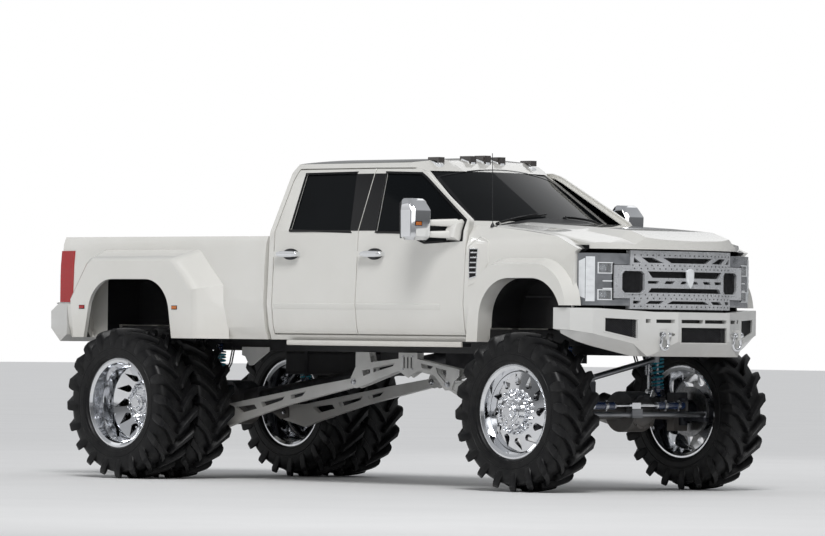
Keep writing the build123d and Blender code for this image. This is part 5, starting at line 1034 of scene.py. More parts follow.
shackle_x = 0.974
for sign, side in sides:
    y, z = sign * 0.421, 1.262
    add_rod(bm, (shackle_x, y - 0.056, z), (shackle_x, y + 0.056, z), 0.0126, 24)
    for end in (-1, 1):
        add_lathe(bm, (shackle_x, y + end * 0.044, z), (0, end, 0), collar(0.011, 0.0, 0.019), 20)
        add_lathe(bm, (shackle_x, y + end * 0.0275, z), (0, end, 0),
            [(-0.01, 0.0), (-0.01, 0.0245), (0.014, 0.0245), (0.014, 0)], 28)
    bow = [(shackle_x - 0.004, y + 0.033, z - 0.004), (shackle_x - 0.006, y + 0.036, z - 0.04)]
    for i in range(15):
        turn = pi * i / 14
        bow.append((shackle_x - 0.008, y + 0.044 * cos(turn), z - 0.072 - 0.046 * sin(turn)))
    bow += [(shackle_x - 0.006, y - 0.036, z - 0.04), (shackle_x - 0.004, y - 0.033, z - 0.004)]
    add_tube(bm, bow, 0.0135, 16)
    piece(f"shackle_{side}", bm, chrome, bevel=0.0015)


# Hood and front fenders: vents, cowl, wipers, mast

for sign, side in sides:
    place = skin_place(sign, fender_table)
    recess = [(-0.668, 1.95), (-0.64, 1.64), (-0.512, 1.69), (-0.436, 1.826), (-0.458, 1.99), (-0.56, 2.03)]
    cut = split_at(split_at(recess, 1, 1.8), 1, 1.95)
    add_frame(bm, cut, 0.007, place, -0.002, 0.004)
    add_prism(bm, cut, place, -0.004, 0.0012)
    piece(f"vent_recess_{side}", bm, pearl, bevel=0.0015)
    badge = [(-0.65, 1.93), (-0.632, 1.7), (-0.56, 1.715), (-0.56, 1.93)]
    cut = split_at(badge, 1, 1.8)
    add_frame(bm, cut, 0.006, place, 0.001, 0.0065)
    for k in range(5):
        z = 1.738 + k * 0.04
        add_prism(bm, rect(-0.636, z, -0.562, z + 0.01), place, 0.002, 0.0062)
    piece(f"vent_bars_{side}", bm, chrome, bevel=0.001)
    add_prism(bm, cut, place, 0.0012, 0.003)
    piece(f"vent_back_{side}", bm, gloss_black)

# Cowl cover at the foot of the screen
screen_base = Vector((-0.655, 0.0, 2.152))
screen_rise = Vector((-0.71, 0.0, 0.446)).normalized()
screen_out = Vector((screen_rise.z, 0.0, -screen_rise.x))
screen_bow = 2.6


def screen_place(u, v, w):
    """Outline in Y and distance up the windscreen, thickness outward from the glass."""
    drop = screen_bow - sqrt(screen_bow ** 2 - u ** 2)
    point = screen_base + screen_rise * v + screen_out * (0.034 - 0.008 - drop + w)
    return (point.x, u, point.z)


rows = []
for k in range(19):
    y = -0.78 + k * 1.56 / 18
    lip = Vector(screen_place(y, 0.028, 0.01))
    rows.append([(lip.x, y, lip.z), (lip.x + 0.012, y, lip.z - 0.004), (-0.534, y, 2.115), (-0.534, y, 2.108),
        (lip.x, y, lip.z - 0.012)])
add_loft(bm, rows)
piece("cowl_cover", bm, moulded, bevel=0.001)

# Arm, blade and spine of a wiper. Columns: distance up the screen, rise, lift, radius, shares of the length
wiper_lines = [
    (0.042, 0.03, 0.024, 0.0055, (0.0, 0.2, 0.4, 0.55)),
    (0.046, 0.04, 0.012, 0.0065, (0.08, 0.2, 0.35, 0.5, 0.65, 0.8, 0.95, 1.0)),
    (0.048, 0.04, 0.021, 0.0045, (0.25, 0.45, 0.6, 0.8)),
]
for number, (pivot_y, tip_y) in enumerate(((0.12, 0.66), (-0.62, -0.06))):
    pivot = Vector(screen_place(pivot_y, 0.04, 0.016))
    add_lathe(bm, pivot - screen_out * 0.016, screen_out, [(0, 0), (0, 0.018), (0.02, 0.015), (0.024, 0)], 20)
    for start, rise, lift, radius, shares in wiper_lines:
        line = [screen_place(pivot_y + (tip_y - pivot_y) * share, start + rise * share, lift)
            for share in shares]
        add_tube(bm, line, radius, 8)
    piece(f"wiper_{number}", bm, satin_black)

# Black border round the windscreen
screen_line = [(-0.793, 0.016), (0.793, 0.016), (0.676, 0.805), (-0.676, 0.805)]
border_steps = 16
for start, end in zip(screen_line, screen_line[1:] + screen_line[:1]):
    inner = [(u * 0.955, 0.035 + (v - 0.016) * 0.955) for u, v in (start, end)]
    edges = [[Vector(p) for p in line] for line in ((start, end), inner)]
    for k in range(border_steps):
        (a, b), (c, d) = [[p.lerp(q, share / border_steps) for p, q in edges] for share in (k, k + 1)]
        add_loft(bm, [[screen_place(*p, w) for p in (a, b, d, c)] for w in (0.0006, 0.0022)])
piece("screen_border", bm, gloss_black)

mast_x, mast_y = -0.48, -0.906
base_z = 2.112
add_lathe(bm, (mast_x, mast_y, base_z), (0, 0, 1), [(-0.006, 0), (-0.006, 0.019), (0.006, 0.018),
    (0.024, 0.008), (0.034, 0.004), (0.034, 0)], 24)
add_tube(bm, [(mast_x, mast_y, base_z + 0.03), (mast_x - 0.004, mast_y, base_z + 0.3),
    (mast_x - 0.012, mast_y, 2.7)], 0.0028, 8)
piece("mast", bm, satin_black)


# Wings of the front bumper: chamfered skirts below the faces

skirt_top = [(0.456, 1.08, 1.301), (0.626, 1.0, 1.277), (0.712, 0.9, 1.253), (0.802, 0.7, 1.205),
    (0.848, 0.6, 1.182), (0.872, 0.545, 1.168)]
skirt_low = [(0.452, 1.062, 1.262), (0.556, 1.0, 1.203), (0.614, 0.9, 1.168), (0.712, 0.7, 1.116),
    (0.766, 0.61, 1.092), (0.806, 0.53, 1.0885)]
for sign in (1, -1):
    rings = []
    for (x0, y0, z0), (x1, y1, z1) in zip(skirt_top, skirt_low):
        rings.append([(x0 + 0.001, sign * y0, z0), (x1, sign * y1, z1), (x1 - 0.01, sign * y1, z1 + 0.002),
            (x0 - 0.012, sign * y0, z0 + 0.006)])
    add_loft(bm, rings)
piece("bumper_skirts", bm, plate_white, bevel=0.0015)


# Coil-overs: damper, shaft, seats and a wound spring

def add_spring(bm, x, y, low, high, radius, wire, turns):
    """Wound spring along Z with its end coils closed up."""
    steps = int(turns * 28)
    points = []
    for i in range(steps + 1):
        share = i / steps
        eased = share - sin(2 * pi * share) * 0.045
        angle = 2 * pi * turns * share
        points.append((x + radius * cos(angle), y + radius * sin(angle), low + (high - low) * eased))
    add_tube(bm, points, wire, 8)


coilover_places = [("front", 0.01, 0.52, 0.752, 1.165), ("rear", -4.126, 0.505, 0.77, 1.15)]
for axle, x, y, low, high in coilover_places:
    bodies, springs, shafts = bmesh.new(), bmesh.new(), bmesh.new()
    for sign in (1, -1):
        across = sign * y
        for z in (low + 0.02, high - 0.02):
            add_lathe(bodies, (x, across - 0.022, z), (0, 1, 0), collar(0.044, 0.009, 0.02), 24, closed=True)
        add_lathe(bodies, (x, across, 0), (0, 0, 1), [(low + 0.034, 0.0), (low + 0.034, 0.022),
            (low + 0.046, 0.031), (low + 0.058, 0.031), (low + 0.06, 0.053), (low + 0.072, 0.053),
            (low + 0.074, 0.037), (low + 0.176, 0.037), (low + 0.184, 0.03), (low + 0.19, 0.012),
            (low + 0.19, 0.0)], 40)
        add_lathe(bodies, (x, across, 0), (0, 0, 1), [
            (high - 0.082, 0.0), (high - 0.082, 0.053), (high - 0.07, 0.053), (high - 0.066, 0.03),
            (high - 0.034, 0.026), (high - 0.03, 0.0)], 40)
        add_spring(springs, x, across, low + 0.081, high - 0.091, 0.0452, 0.0082, 7.5)
        add_rod(shafts, (x, across, low + 0.18), (x, across, high - 0.06), 0.0105, 20)
        for z in (low + 0.02, high - 0.02):
            add_rod(shafts, (x, across - 0.031, z), (x, across + 0.031, z), 0.0088, 12)
            for end in (-1, 1):
                add_bolt(shafts, (x, across + end * 0.023, z), (0, end, 0), 0.014, 0.011)
    piece(f"coilover_bodies_{axle}", bodies, damper_blue, bevel=0.0012)
    piece(f"coilover_springs_{axle}", springs, spring_teal,
          replaced=(f"{axle}_coilovers",))
    piece(f"coilover_shafts_{axle}", shafts, bright_steel, bevel=0.0008)

# Second dampers beside the front coil-overs
bodies, shafts = bmesh.new(), bmesh.new()
for sign in (1, -1):
    x, y = -0.09, sign * 0.52
    add_lathe(bodies, (x, y, 0), (0, 0, 1), [(0.93, 0.0), (0.93, 0.022), (0.936, 0.029), (1.128, 0.029),
        (1.136, 0.022), (1.136, 0.0)], 32)
    for z in (0.962, 1.1):
        add_lathe(bodies, (x, y, z), (0, 0, 1), collar(0.016, 0.028, 0.0325), 32, closed=True)
    add_rod(shafts, (x, y, 0.8), (x, y, 0.935), 0.0105, 16)
    for z in (0.8, 1.148):
        add_lathe(shafts, (x, y - 0.02, z), (0, 1, 0), collar(0.04, 0.0, 0.019), 24)
piece("front_damper_tubes", bodies, bright_steel, bevel=0.0015)
piece("front_damper_shafts", shafts, chrome, bevel=0.001)

# Steering dampers: clamps, end caps and their eyes
for sign in (1, -1):
    for y in (0.33, 0.486):
        add_lathe(bm, (0.25, sign * y, 0.69), (0, sign, 0), collar(0.03, 0.029, 0.0365), 32, closed=True)
        for z in (-0.044, 0.044):
            add_bolt(bm, (0.262, sign * (y + 0.015), 0.69 + z * 0.86), (1, 0, 0), 0.0065, 0.01)
    add_lathe(bm, (0.25, sign * 0.24, 0.69), (0, sign, 0), collar(0.014, 0.012, 0.0315), 32, closed=True)
piece("damper_clamps", bm, bright_steel, bevel=0.001)


# Axle covers with bolt rings, and bolts through the links

def add_cover(bm, x, y, way, reach, radius):
    """Domed axle cover with a flange and ten bolts."""
    origin = (x, y, axle_z)
    add_lathe(bm, origin, (way, 0, 0), [(reach - 0.056, 0.0), (reach - 0.056, radius), (reach - 0.04, radius),
        (reach - 0.036, radius - 0.016), (reach - 0.012, radius - 0.034), (reach - 0.001, radius - 0.062),
        (reach, 0.0)], 48)
    for i in range(10):
        turn = 2 * pi * (i + 0.5) / 10
        spot = (x + way * (reach - 0.04), y + (radius - 0.008) * cos(turn),
            axle_z + (radius - 0.008) * sin(turn))
        add_bolt(bm, spot, (way, 0, 0), 0.0075, 0.01)


add_cover(bm, 0.0, 0.21, 1, 0.186, 0.138)
add_cover(bm, -wheelbase, 0.0, -1, 0.212, 0.158)
piece("axle_covers", bm, axle_grey, bevel=0.002)

# Columns: distance behind the front axle, height, half width of the plate's outer face
link_bolts = [(0.062, 0.56, 0.48), (1.389, 0.836, 0.492), (2.495, 0.843, 0.492), (4.305, 0.56, 0.48)]
for sign in (1, -1):
    for behind, z, y in link_bolts:
        for end, level in ((1, y), (-1, 0.906 - y)):
            add_bolt(bm, (-behind, sign * level, z), (0, sign * end, 0), 0.021, 0.02)
    for x, z in ((1.8, 1.06), (1.912, 1.06), (1.8, 0.955), (1.912, 0.955)):
        add_bolt(bm, (-x, sign * 0.492, z), (0, sign, 0), 0.0075, 0.008)
piece("link_bolts", bm, bright_steel, bevel=0.001)

rims = bmesh.new()
for sign in (1, -1):
    for x in (1.814, 1.856, 1.898):
        slot_line = [(-x - 0.0075, 0.962), (-x + 0.0075, 0.962), (-x + 0.0075, 1.048), (-x, 1.058),
            (-x - 0.0075, 1.048)]
        add_prism(bm, slot_line, side_place, sign * 0.4915, sign * 0.4935)
        add_frame(rims, slot_line, 0.004, side_place, sign * 0.4915, sign * 0.4955)
    for x in (4.186, 4.214, 4.242):
        slot_line = rect(-x - 0.005, 0.575, -x + 0.005, 0.64)
        add_prism(bm, slot_line, side_place, sign * 0.4795, sign * 0.4815)
        add_frame(rims, slot_line, 0.004, side_place, sign * 0.4795, sign * 0.4835)
piece("plate_slots", bm, moulded)
piece("plate_slot_rims", rims, link_white, bevel=0.001)

# Hanger brackets ahead of the rear wheels, and brake hoses
for sign in (1, -1):
    bracket = [(-3.89, 1.12), (-3.56, 1.12), (-3.56, 1.085), (-3.76, 0.965), (-3.8, 0.965), (-3.85, 1.04),
        (-3.89, 1.05)]
    add_prism(bm, bracket, side_place, sign * 0.452, sign * 0.47)
piece("frame_brackets", bm, link_white, bevel=0.003)
for sign in (1, -1):
    for shift in (0.0, 0.026):
        rear_hose = [(-4.02 - shift, 0.43, 1.12), (-4.03 - shift, 0.455, 0.98), (-4.1 - shift, 0.47, 0.86),
            (-4.22, 0.48, 0.77), (-4.36, 0.5, 0.735)]
        front_hose = [(-0.16 - shift, 0.43, 1.12), (-0.17 - shift, 0.5, 0.98), (-0.15 - shift, 0.6, 0.87),
            (-0.13, 0.7, 0.8)]
        for hose in (rear_hose, front_hose):
            add_tube(bm, mirrored(hose, sign), 0.0065, 8)
piece("brake_hoses", bm, trim_rubber)

# Fuel tank straps
tank_low, tank_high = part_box("fuel_tank")
for share in (0.22, 0.78):
    x = tank_low[0] - front_x + (tank_high[0] - tank_low[0]) * share
    outer = rect(tank_low[1] - 0.004, tank_low[2] - 0.004, tank_high[1] + 0.004, tank_high[2] + 0.004)
    add_frame(bm, outer, 0.003, front_place, x - 0.02, x + 0.02)
piece("tank_straps", bm, dark_steel, bevel=0.001)

# Running boards: pale edge strip outside, ribbed treads on top
edge_strips, treads = bmesh.new(), bmesh.new()
for sign in (1, -1):
    section = [(0.99, 1.186), (1.0045, 1.182), (1.0075, 1.17), (1.0075, 1.15), (1.003, 1.142), (0.985, 1.142)]
    rings = []
    for x in (-2.772, -2.76, -0.74, -0.728):
        inset = 0.004 if x in (-2.772, -0.728) else 0.0
        rings.append([(x, sign * (y - inset), z) for y, z in section])
    add_loft(edge_strips, rings)
    for low_x, high_x in ((-2.66, -2.1), (-1.42, -0.88)):
        for k in range(6):
            y = 0.892 + k * 0.015
            flat_box(treads, low_x, high_x, y, y + 0.008, 1.172, 1.1795, sign)
piece("board_strips", edge_strips, pearl, bevel=0.0015)
piece("board_treads", treads, trim_rubber, bevel=0.001)

# Fold line along the doors
for sign, side in sides:
    place = skin_place(sign)
    for place_name, (low_x, high_x) in (("front", (-1.944, -0.965)), ("rear", (-2.92, -1.956))):
        section = [(1.492, -0.001), (1.484, 0.0055), (1.474, 0.0065), (1.44, 0.0008), (1.44, -0.002)]
        add_loft(bm, [[place(x, z, w * (0.4 if x in (low_x, high_x) else 1.0)) for z, w in section]
            for x in (low_x, low_x + 0.012, high_x - 0.012, high_x)])
        piece(f"door_fold_{place_name}_{side}", bm, pearl, f"{place_name}_{side}_door",
            bevel=0.001)


# Rear: markers, lamp frames, tailgate hardware, bed ribs, bumper treads and plate

marker_y = 1.2255
for sign, side in sides:
    for name, x, material in (("amber", -3.915, amber_lens), ("red", -5.088, red_lens)):
        rims, glass = bmesh.new(), bmesh.new()
        line = rect(x - 0.03, 1.432, x + 0.03, 1.456)
        add_frame(rims, line, 0.005, side_place, sign * (marker_y - 0.03), sign * (marker_y + 0.003))
        add_prism(glass, line, side_place, sign * (marker_y - 0.034), sign * (marker_y + 0.007))
        piece(f"marker_rim_{name}_{side}", rims, gloss_black, bevel=0.001)
        piece(f"marker_{name}_{side}", glass, material, bevel=0.002)

tail_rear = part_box("tail_lamps")[0][0] - front_x
for sign, side in sides:
    line = flip(rect(0.846, 1.652, 1.0, 1.74), sign)
    add_prism(bm, line, front_place, tail_rear - 0.004, tail_rear + 0.006)
    piece(f"reverse_lens_{side}", bm, clear_lens, bevel=0.002)
    add_frame(bm, line, 0.005, front_place, tail_rear - 0.0055, tail_rear + 0.002)
    for z in (1.56, 1.832):
        bar = flip(rect(0.86, z - 0.003, 0.99, z + 0.003), sign)
        add_prism(bm, bar, front_place, tail_rear - 0.0035, tail_rear + 0.002)
    piece(f"tail_lamp_lines_{side}", bm, gloss_black, bevel=0.0008)

gate_rear = -5.6
add_frame(bm, rect(-0.64, 1.56, 0.64, 1.8), 0.016, front_place, gate_rear - 0.0045, gate_rear + 0.004)
add_loft(bm, [[(gate_rear + 0.004, y, z) for y, z in rect(-0.74, 1.958, 0.74, 2.036)],
    [(gate_rear - 0.01, y, z) for y, z in rect(-0.735, 1.966, 0.735, 2.026)]])
piece("tailgate_pressing", bm, pearl, "tailgate_panel", bevel=0.003)
cup = rect(-0.12, 1.872, 0.12, 1.938)
add_frame(bm, cup, 0.01, front_place, gate_rear - 0.009, gate_rear + 0.004)
add_prism(bm, cup, front_place, gate_rear - 0.002, gate_rear + 0.004)
piece("tailgate_handle_bezel", bm, moulded, body="tailgate_panel", bevel=0.002)
add_loft(bm, [[(gate_rear - 0.002, y, z) for y, z in rect(-0.104, 1.902, 0.104, 1.934)],
    [(gate_rear - 0.011, y, z) for y, z in rect(-0.1, 1.906, 0.1, 1.931)]])
add_lathe(bm, (gate_rear - 0.001, 0.0, 1.886), (-1, 0, 0), knob(0.004, 0.008, 0.007), 20)
piece("tailgate_handle", bm, chrome, "tailgate_panel", bevel=0.002)

# Bed: ribs along the floor, tie-down rings
for k in range(13):
    y = -0.5 + k * 1.0 / 12
    flat_box(bm, -5.5, -3.18, y - 0.018, y + 0.018, 1.528, 1.5395)
piece("bed_floor_ribs", bm, pearl, bevel=0.003)
for sign in (1, -1):
    for x in (-5.3, -3.32):
        add_lathe(bm, (x, sign * 0.826, 1.69), (0, -sign, 0), knob(0.006, 0.026, 0.024), 24)
        centre = Vector((x, sign * 0.812, 1.676))
        add_tube(bm, circle(centre, Vector((1, 0, 0)), Vector((0, 0, 1)), 0.022, 16), 0.004, 8, closed=True)
piece("tie_downs", bm, dark_steel)

# Rear bumper: ribbed step pads, blank plate with its lamps
for low_y, high_y in ((-0.96, -0.48), (-0.38, 0.38), (0.48, 0.96)):
    flat_box(bm, -5.716, -5.64, low_y, high_y, 1.472, 1.4795)
    for k in range(6):
        x = -5.71 + k * 0.012
        flat_box(bm, x, x + 0.006, low_y + 0.012, high_y - 0.012, 1.478, 1.4825)
piece("step_pads", bm, trim_rubber, bevel=0.001)
plate = rect(-0.152, 1.282, 0.152, 1.368)
add_frame(bm, plate, 0.006, front_place, -5.7155, -5.706)
for y in (-0.13, 0.13):
    add_bolt(bm, (-5.7135, y, 1.356), (-1, 0, 0), 0.004, 0.003)
piece("plate_frame", bm, moulded, bevel=0.0012)
add_prism(bm, plate, front_place, -5.7135, -5.7075)
piece("blank_plate", bm, plate_white, bevel=0.001)
for y in (-0.172, 0.172):
    flat_box(bm, -5.722, -5.704, y - 0.008, y + 0.008, 1.33, 1.362)
piece("plate_lamps", bm, clear_lens, bevel=0.002)

# Rear window seal and high brake lamp
rear_line = [(-0.59, 2.13), (0.59, 2.13), (0.56, 2.5), (-0.56, 2.5)]
rear_bend_z = 2.379
# Columns: height, distance of the cab's back from its foot
rear_lean = [(2.045, 0.01), (rear_bend_z, 0.05), (2.783, 0.094)]


def rear_window_place(u, v, w):
    """Outline in Y and Z on the cab's sloping back, thickness to the rear."""
    return (-3.003 + line_at(rear_lean, v) - w, u, v)


add_frame(bm, split_at(rear_line, 1, rear_bend_z), 0.02, rear_window_place, -0.01, 0.004)
piece("rear_window_seal", bm, gloss_black, bevel=0.001)
brake_line = [(-0.15, 2.556), (0.15, 2.556), (0.144, 2.588), (-0.144, 2.588)]
add_prism(bm, brake_line, rear_window_place, -0.006, 0.008)
piece("high_brake_lamp", bm, red_lens, bevel=0.002)

# Pads under the roof lights
for y in (-0.538, -0.17, 0.0, 0.17, 0.538):
    top = 2.69 - 0.026 * (abs(y) / 0.538) ** 2
    add_loft(bm, [[(-1.505 + a * length, y + b * width, top - drop - a * 0.02) for a, b in octagon]
        for length, width, drop in ((0.07, 0.04, 0.036), (0.066, 0.037, 0.008))])
piece("roof_light_pads", bm, lamp_white, bevel=0.002)


# Interior: crowned seat cushions with piping and pleats, steering wheel, dials hood and blank screen

def pillow_point(centre, along, across, up, size, u, turn):
    """Point on a crowned pillow at a share along it and a turn round it."""
    length, width, thick = size
    ease = (1 - min(abs(u), 1.0) ** 6) ** (1 / 4)
    a, b = [sqrt(abs(share)) * (1 if share >= 0 else -1) for share in (cos(turn), sin(turn))]
    crown = 1.0 + 0.1 * (1 - a * a) * (1 - u * u)
    flat = centre + along * (u * length / 2) + across * (a * width / 2 * ease)
    return flat + up * (b * thick / 2 * ease * crown)


def cushion(name, centre, along, up, size, pleats=0, replaced=()):
    """Leather pad with sewn channels across it and piping along its seam."""
    centre, along, up = Vector(centre), Vector(along).normalized(), Vector(up).normalized()
    across = up.cross(along).normalized()
    length, width, thick = size
    rings = []
    steps, corners = 36, 28
    for i in range(steps + 1):
        u = -0.998 + 1.996 * i / steps
        phase = (u + 0.8) / 1.6 * pleats
        sewn = pleats and 0 <= phase <= pleats
        channel = 1.0 - 0.055 * (1 - abs(sin(pi * phase))) ** 3 if sewn else 1.0
        pinched = (length, width, thick * channel)
        rings.append([pillow_point(centre, along, across, up, pinched, u, 2 * pi * k / corners)
            for k in range(corners)])
    add_loft(bm, rings)
    made = piece(name, bm, leather, smooth=60.0, replaced=replaced)
    smoother = made.modifiers.new("smooth", "SUBSURF")
    smoother.levels = smoother.render_levels = 1
    for turn in (pi, 0.0):
        shares = [-0.96 + 1.92 * i / 40 for i in range(41)]
        add_tube(bm, [pillow_point(centre, along, across, up, size, u, turn) for u in shares], 0.004, 6)
    piece(f"{name}_piping", bm, leather)


seat_z = 1.35
for sign, side in sides:
    y = sign * 0.4
    cushion(f"seat_base_{side}", (-1.64, y, seat_z + 0.27), (1, 0, 0.1), (-0.1, 0, 1),
            (0.52, 0.5, 0.22), pleats=5, replaced=("seats",) if sign == 1 else ())
    cushion(f"seat_back_{side}", (-1.955, y, seat_z + 0.65), (-0.2, 0, 1), (1, 0, 0.2),
            (0.66, 0.49, 0.15), pleats=5)
    cushion(f"headrest_{side}", (-2.042, y, seat_z + 1.015), (0, 1, 0), (1, 0, 0.1), (0.27, 0.165, 0.105))
    for z_low, z_high, inset in ((0.005, 0.03, 0.0), (0.03, 0.15, 0.04)):
        flat_box(bm, -1.85 + inset, -1.43 - inset, abs(y) - 0.21 + inset, abs(y) + 0.21 - inset,
            seat_z + z_low, seat_z + z_high, sign)
    for shift in (-0.075, 0.075):
        add_rod(bm, (-2.02, y + shift, seat_z + 0.9), (-2.04, y + shift, seat_z + 1.0), 0.006, 12)
    piece(f"seat_frame_{side}", bm, moulded, bevel=0.006)
for number, y in enumerate((-0.46, 0.0, 0.46)):
    cushion(f"bench_base_{number}", (-2.64, y, seat_z + 0.27), (1, 0, 0.06), (-0.06, 0, 1),
            (0.5, 0.462, 0.2), pleats=4)
    cushion(f"bench_back_{number}", (-2.835, y, seat_z + 0.61), (-0.12, 0, 1), (1, 0, 0.12),
            (0.6, 0.462, 0.13), pleats=4)
flat_box(bm, -2.86, -2.44, -0.68, 0.68, seat_z + 0.005, seat_z + 0.17)
piece("bench_frame", bm, moulded, bevel=0.012)

# Steering wheel with a padded rim, spokes and a plain hub
wheel_centre = Vector((-1.232, 0.4, 1.955))
wheel_axis = Vector((-0.93, 0.0, 0.37)).normalized()
first, second = cross_axes(wheel_axis)
add_tube(bm, circle(wheel_centre, first, second, 0.186, 48), 0.0145, 12, closed=True)
for turn in (0.0, pi, -pi / 2):
    outward = first * cos(turn) + second * sin(turn)
    near, far = wheel_centre + outward * 0.04, wheel_centre + outward * 0.18
    add_tube(bm, [near - wheel_axis * 0.012, (near + far) / 2 - wheel_axis * 0.01, far], 0.011, 8)
hub = [(0, 0), (0, 0.05), (0.03, 0.066), (0.048, 0.058), (0.054, 0.0)]
add_lathe(bm, wheel_centre - wheel_axis * 0.045, wheel_axis, hub, 32)
piece("steering_wheel_cover", bm, leather, smooth=50.0)

screen = rect(-0.15, 1.9, 0.15, 2.066)
add_frame(bm, screen, 0.012, front_place, -1.22, -1.196)
add_prism(bm, screen, front_place, -1.214, -1.196)
for y in (-0.12, -0.06, 0.0, 0.06, 0.12):
    add_lathe(bm, (-1.2, y, 1.842), (-1, 0, 0), knob(0.018, 0.018, 0.015), 24)
piece("centre_console_face", bm, gloss_black, bevel=0.0015)
arch = [(0.4 + 0.175 * cos(pi * k / 12), 2.01 + 0.115 * sin(pi * k / 12)) for k in range(13)]
add_loft(bm, [[(x, y, z) for y, z in arch] for x in (-1.19, -1.06)])
piece("dials_hood", bm, moulded, bevel=0.004)

# Engine bay: ribbed cover, intake pipe, two batteries on trays and a fluid tank
cover = rect(-0.43, -0.3, 0.37, 0.3)
add_loft(bm, [[(x * long - shift, y * wide, z) for x, y in cover] for long, shift, wide, z in (
    (1.0, 0.0, 1.0, 1.752), (0.98, 0.001, 0.97, 1.792), (0.92, 0.002, 0.88, 1.812))])
for k in range(9):
    y = -0.2 + k * 0.05
    flat_box(bm, -0.34, 0.29, y - 0.009, y + 0.009, 1.808, 1.822)
for x, y in ((-0.36, 0.245), (0.31, 0.245), (-0.36, -0.245), (0.31, -0.245)):
    add_bolt(bm, (x, y, 1.803), (0, 0, 1), 0.01, 0.012)
piece("engine_cover", bm, moulded, bevel=0.005)
add_tube(bm, [(0.1, -0.24, 1.845), (0.26, -0.27, 1.85), (0.37, -0.35, 1.84), (0.41, -0.44, 1.78),
    (0.4, -0.5, 1.68), (0.4, -0.51, 1.56)], 0.042, 20)
for k in range(7):
    spot = Vector((0.385 + k * 0.003, -0.385 - k * 0.012, 1.826 - k * 0.014))
    add_lathe(bm, spot, (0.15, -0.75, -0.62), collar(0.006, 0.04, 0.047), 20, closed=True)
piece("intake_pipe", bm, trim_rubber)
posts = bmesh.new()
for sign in (1, -1):
    x0 = 0.14 if sign == 1 else -0.06
    flat_box(bm, x0 - 0.01, x0 + 0.27, 0.4, 0.621, 1.568, 1.584, sign)
    flat_box(bm, x0, x0 + 0.26, 0.412, 0.59, 1.584, 1.752, sign)
    flat_box(bm, x0 - 0.004, x0 + 0.264, 0.408, 0.594, 1.752, 1.772, sign)
    for shift in (0.04, 0.22):
        add_rod(posts, (x0 + shift, sign * 0.455, 1.77), (x0 + shift, sign * 0.455, 1.79), 0.011)
piece("batteries", bm, moulded, bevel=0.004)
piece("battery_posts", posts, bright_steel, bevel=0.001)
tank = [(-0.38, 0.44), (-0.13, 0.44), (-0.11, 0.5), (-0.13, 0.596), (-0.38, 0.61)]
add_loft(bm, [[(x, -y, 1.56) for x, y in tank], [(x, -y, 1.74) for x, y in tank],
    [(x * 0.94 - 0.015, -0.525 - (y - 0.525) * 0.7, 1.772) for x, y in tank]])
piece("fluid_tank", bm, lamp_white, bevel=0.008)
filler = [(0, 0), (0, 0.03), (0.022, 0.028), (0.026, 0.024), (0.026, 0)]
add_lathe(bm, (-0.24, -0.525, 1.768), (0, 0, 1), filler, 28)
flat_box(bm, -0.4, -0.09, 0.43, 0.621, 1.546, 1.562, -1)
piece("fluid_tank_cap", bm, moulded, bevel=0.002)


# Stage: pale floor, bright studio sky, soft lamps and the photograph's camera

def build_floor():
    """Large pale floor that keeps the object's shadow."""
    mesh = bpy.data.meshes.new("floor")
    mesh.from_pydata([(-150, -150, 0), (150, -150, 0), (150, 150, 0), (-150, 150, 0)], [], [(0, 1, 2, 3)])
    floor = bpy.data.objects.new("floor", mesh)
    bpy.context.scene.collection.objects.link(floor)
    made, tree, shader, place = node_material("floor_pale")
    tone = ramp(tree, noise(tree, place, 0.8), (0.79, 0.79, 0.79), (0.82, 0.82, 0.82))
    tree.links.new(tone, shader.inputs["Base Color"])
    shader.inputs["Roughness"].default_value = 0.8
    mesh.materials.append(made)


def build_world():
    """World light by height, and plain white where the camera sees it."""
    world = bpy.data.worlds.new("studio")
    bpy.context.scene.world = world
    world.use_nodes = True
    tree = world.node_tree
    place = add_node(tree, "TexCoord", {}).outputs["Generated"]
    height = add_node(tree, "SeparateXYZ", {"Vector": place}).outputs["Z"]
    band = add_node(tree, "ValToRGB", {"Fac": height})
    while len(band.color_ramp.elements) < len(sky_levels):
        band.color_ramp.elements.new(0.5)
    for element, (position, level) in zip(band.color_ramp.elements, sky_levels):
        element.position = position
        element.color = (level * 0.98, level, level * 1.03, 1.0)
    light = tree.nodes["Background"]
    plug(tree, light, {"Color": band.outputs["Color"], "Strength": sky_strength})
    white = add_node(tree, "Background", {"Color": (1.0, 1.0, 1.0, 1.0)})
    camera_ray = add_node(tree, "LightPath", {}).outputs["Is Camera Ray"]
    mix = add_node(tree, "MixShader", {0: camera_ray, 1: light.outputs[0], 2: white.outputs[0]})
    tree.links.new(mix.outputs[0], tree.nodes["World Output"].inputs["Surface"])


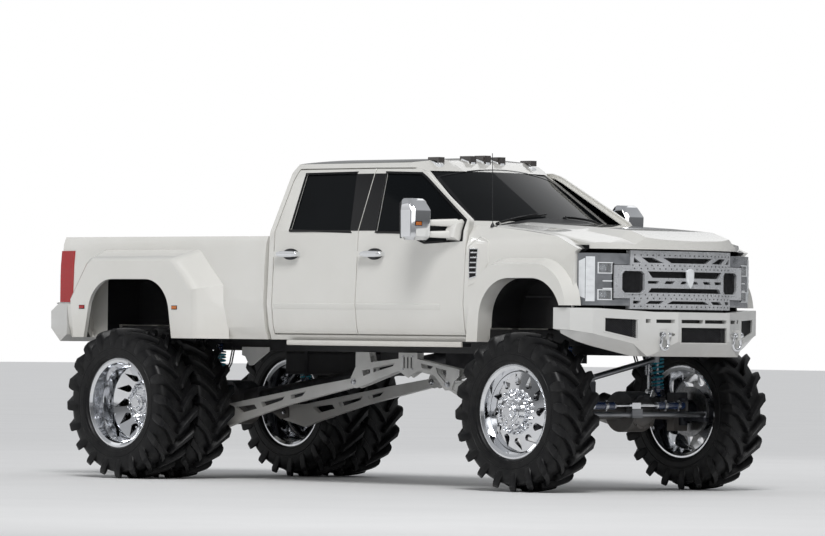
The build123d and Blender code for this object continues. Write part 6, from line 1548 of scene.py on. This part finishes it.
def add_light(name, kind, place, target, power, **settings):
    """Sun or soft square lamp aimed at a point."""
    data = bpy.data.lights.new(name, kind)
    data.energy = power
    for key, value in settings.items():
        setattr(data, key, value)
    light = bpy.data.objects.new(name, data)
    light.location = place
    light.rotation_euler = (Vector(target) - Vector(place)).to_track_quat("-Z", "Y").to_euler()
    bpy.context.scene.collection.objects.link(light)


# Sky. Columns: height of the direction, grey level
sky_levels = [(0.0, 0.5), (0.05, 0.8), (0.12, 0.3), (0.3, 0.42), (0.55, 1.0), (1.0, 0.85)]
sky_strength = 0.42
sun_strength = 1.75
lamp_target = (0.0, 0.0, 1.2)

# The photograph's camera, worked out from the truck's known points
camera_azimuth = radians(45.58)
camera_elevation = radians(-0.65)
camera_roll = radians(0.66)
camera_distance = 50.114
camera_target = Vector((front_x - 2.3168, 0.0, 1.7949))
focal_pixels = 6010.75
image_width = 825


def build_camera():
    """Camera at the photograph's angle."""
    data = bpy.data.cameras.new("photo_camera")
    data.sensor_width = 36.0
    data.lens = focal_pixels / image_width * data.sensor_width
    data.clip_end = 400.0
    camera = bpy.data.objects.new("photo_camera", data)
    back = Vector((
        sin(camera_azimuth) * cos(camera_elevation),
        -cos(camera_azimuth) * cos(camera_elevation),
        sin(camera_elevation),
    ))
    right = (-back).cross(Vector((0, 0, 1))).normalized()
    up = back.cross(right)
    turned_right = right * cos(camera_roll) + up * sin(camera_roll)
    turned_up = up * cos(camera_roll) - right * sin(camera_roll)
    place = camera_target + back * camera_distance
    rows = Matrix((turned_right, turned_up, back)).transposed()
    camera.matrix_world = Matrix.Translation(place) @ rows.to_4x4()
    bpy.context.scene.collection.objects.link(camera)
    bpy.context.scene.camera = camera


build_floor()
build_world()
add_light("sun", "SUN", (5.5, -5.5, 9.0), (0.0, 0.0, 0.0), sun_strength, angle=radians(22.0))
add_light("key", "AREA", (9.0, -9.0, 6.0), lamp_target, 150.0, size=6.0)
add_light("fill", "AREA", (-10.0, -8.0, 5.0), lamp_target, 90.0, size=8.0)
add_light("rim", "AREA", (-4.0, 10.0, 8.0), lamp_target, 110.0, size=7.0)
build_camera()
bpy.context.scene.view_settings.view_transform = "Standard"
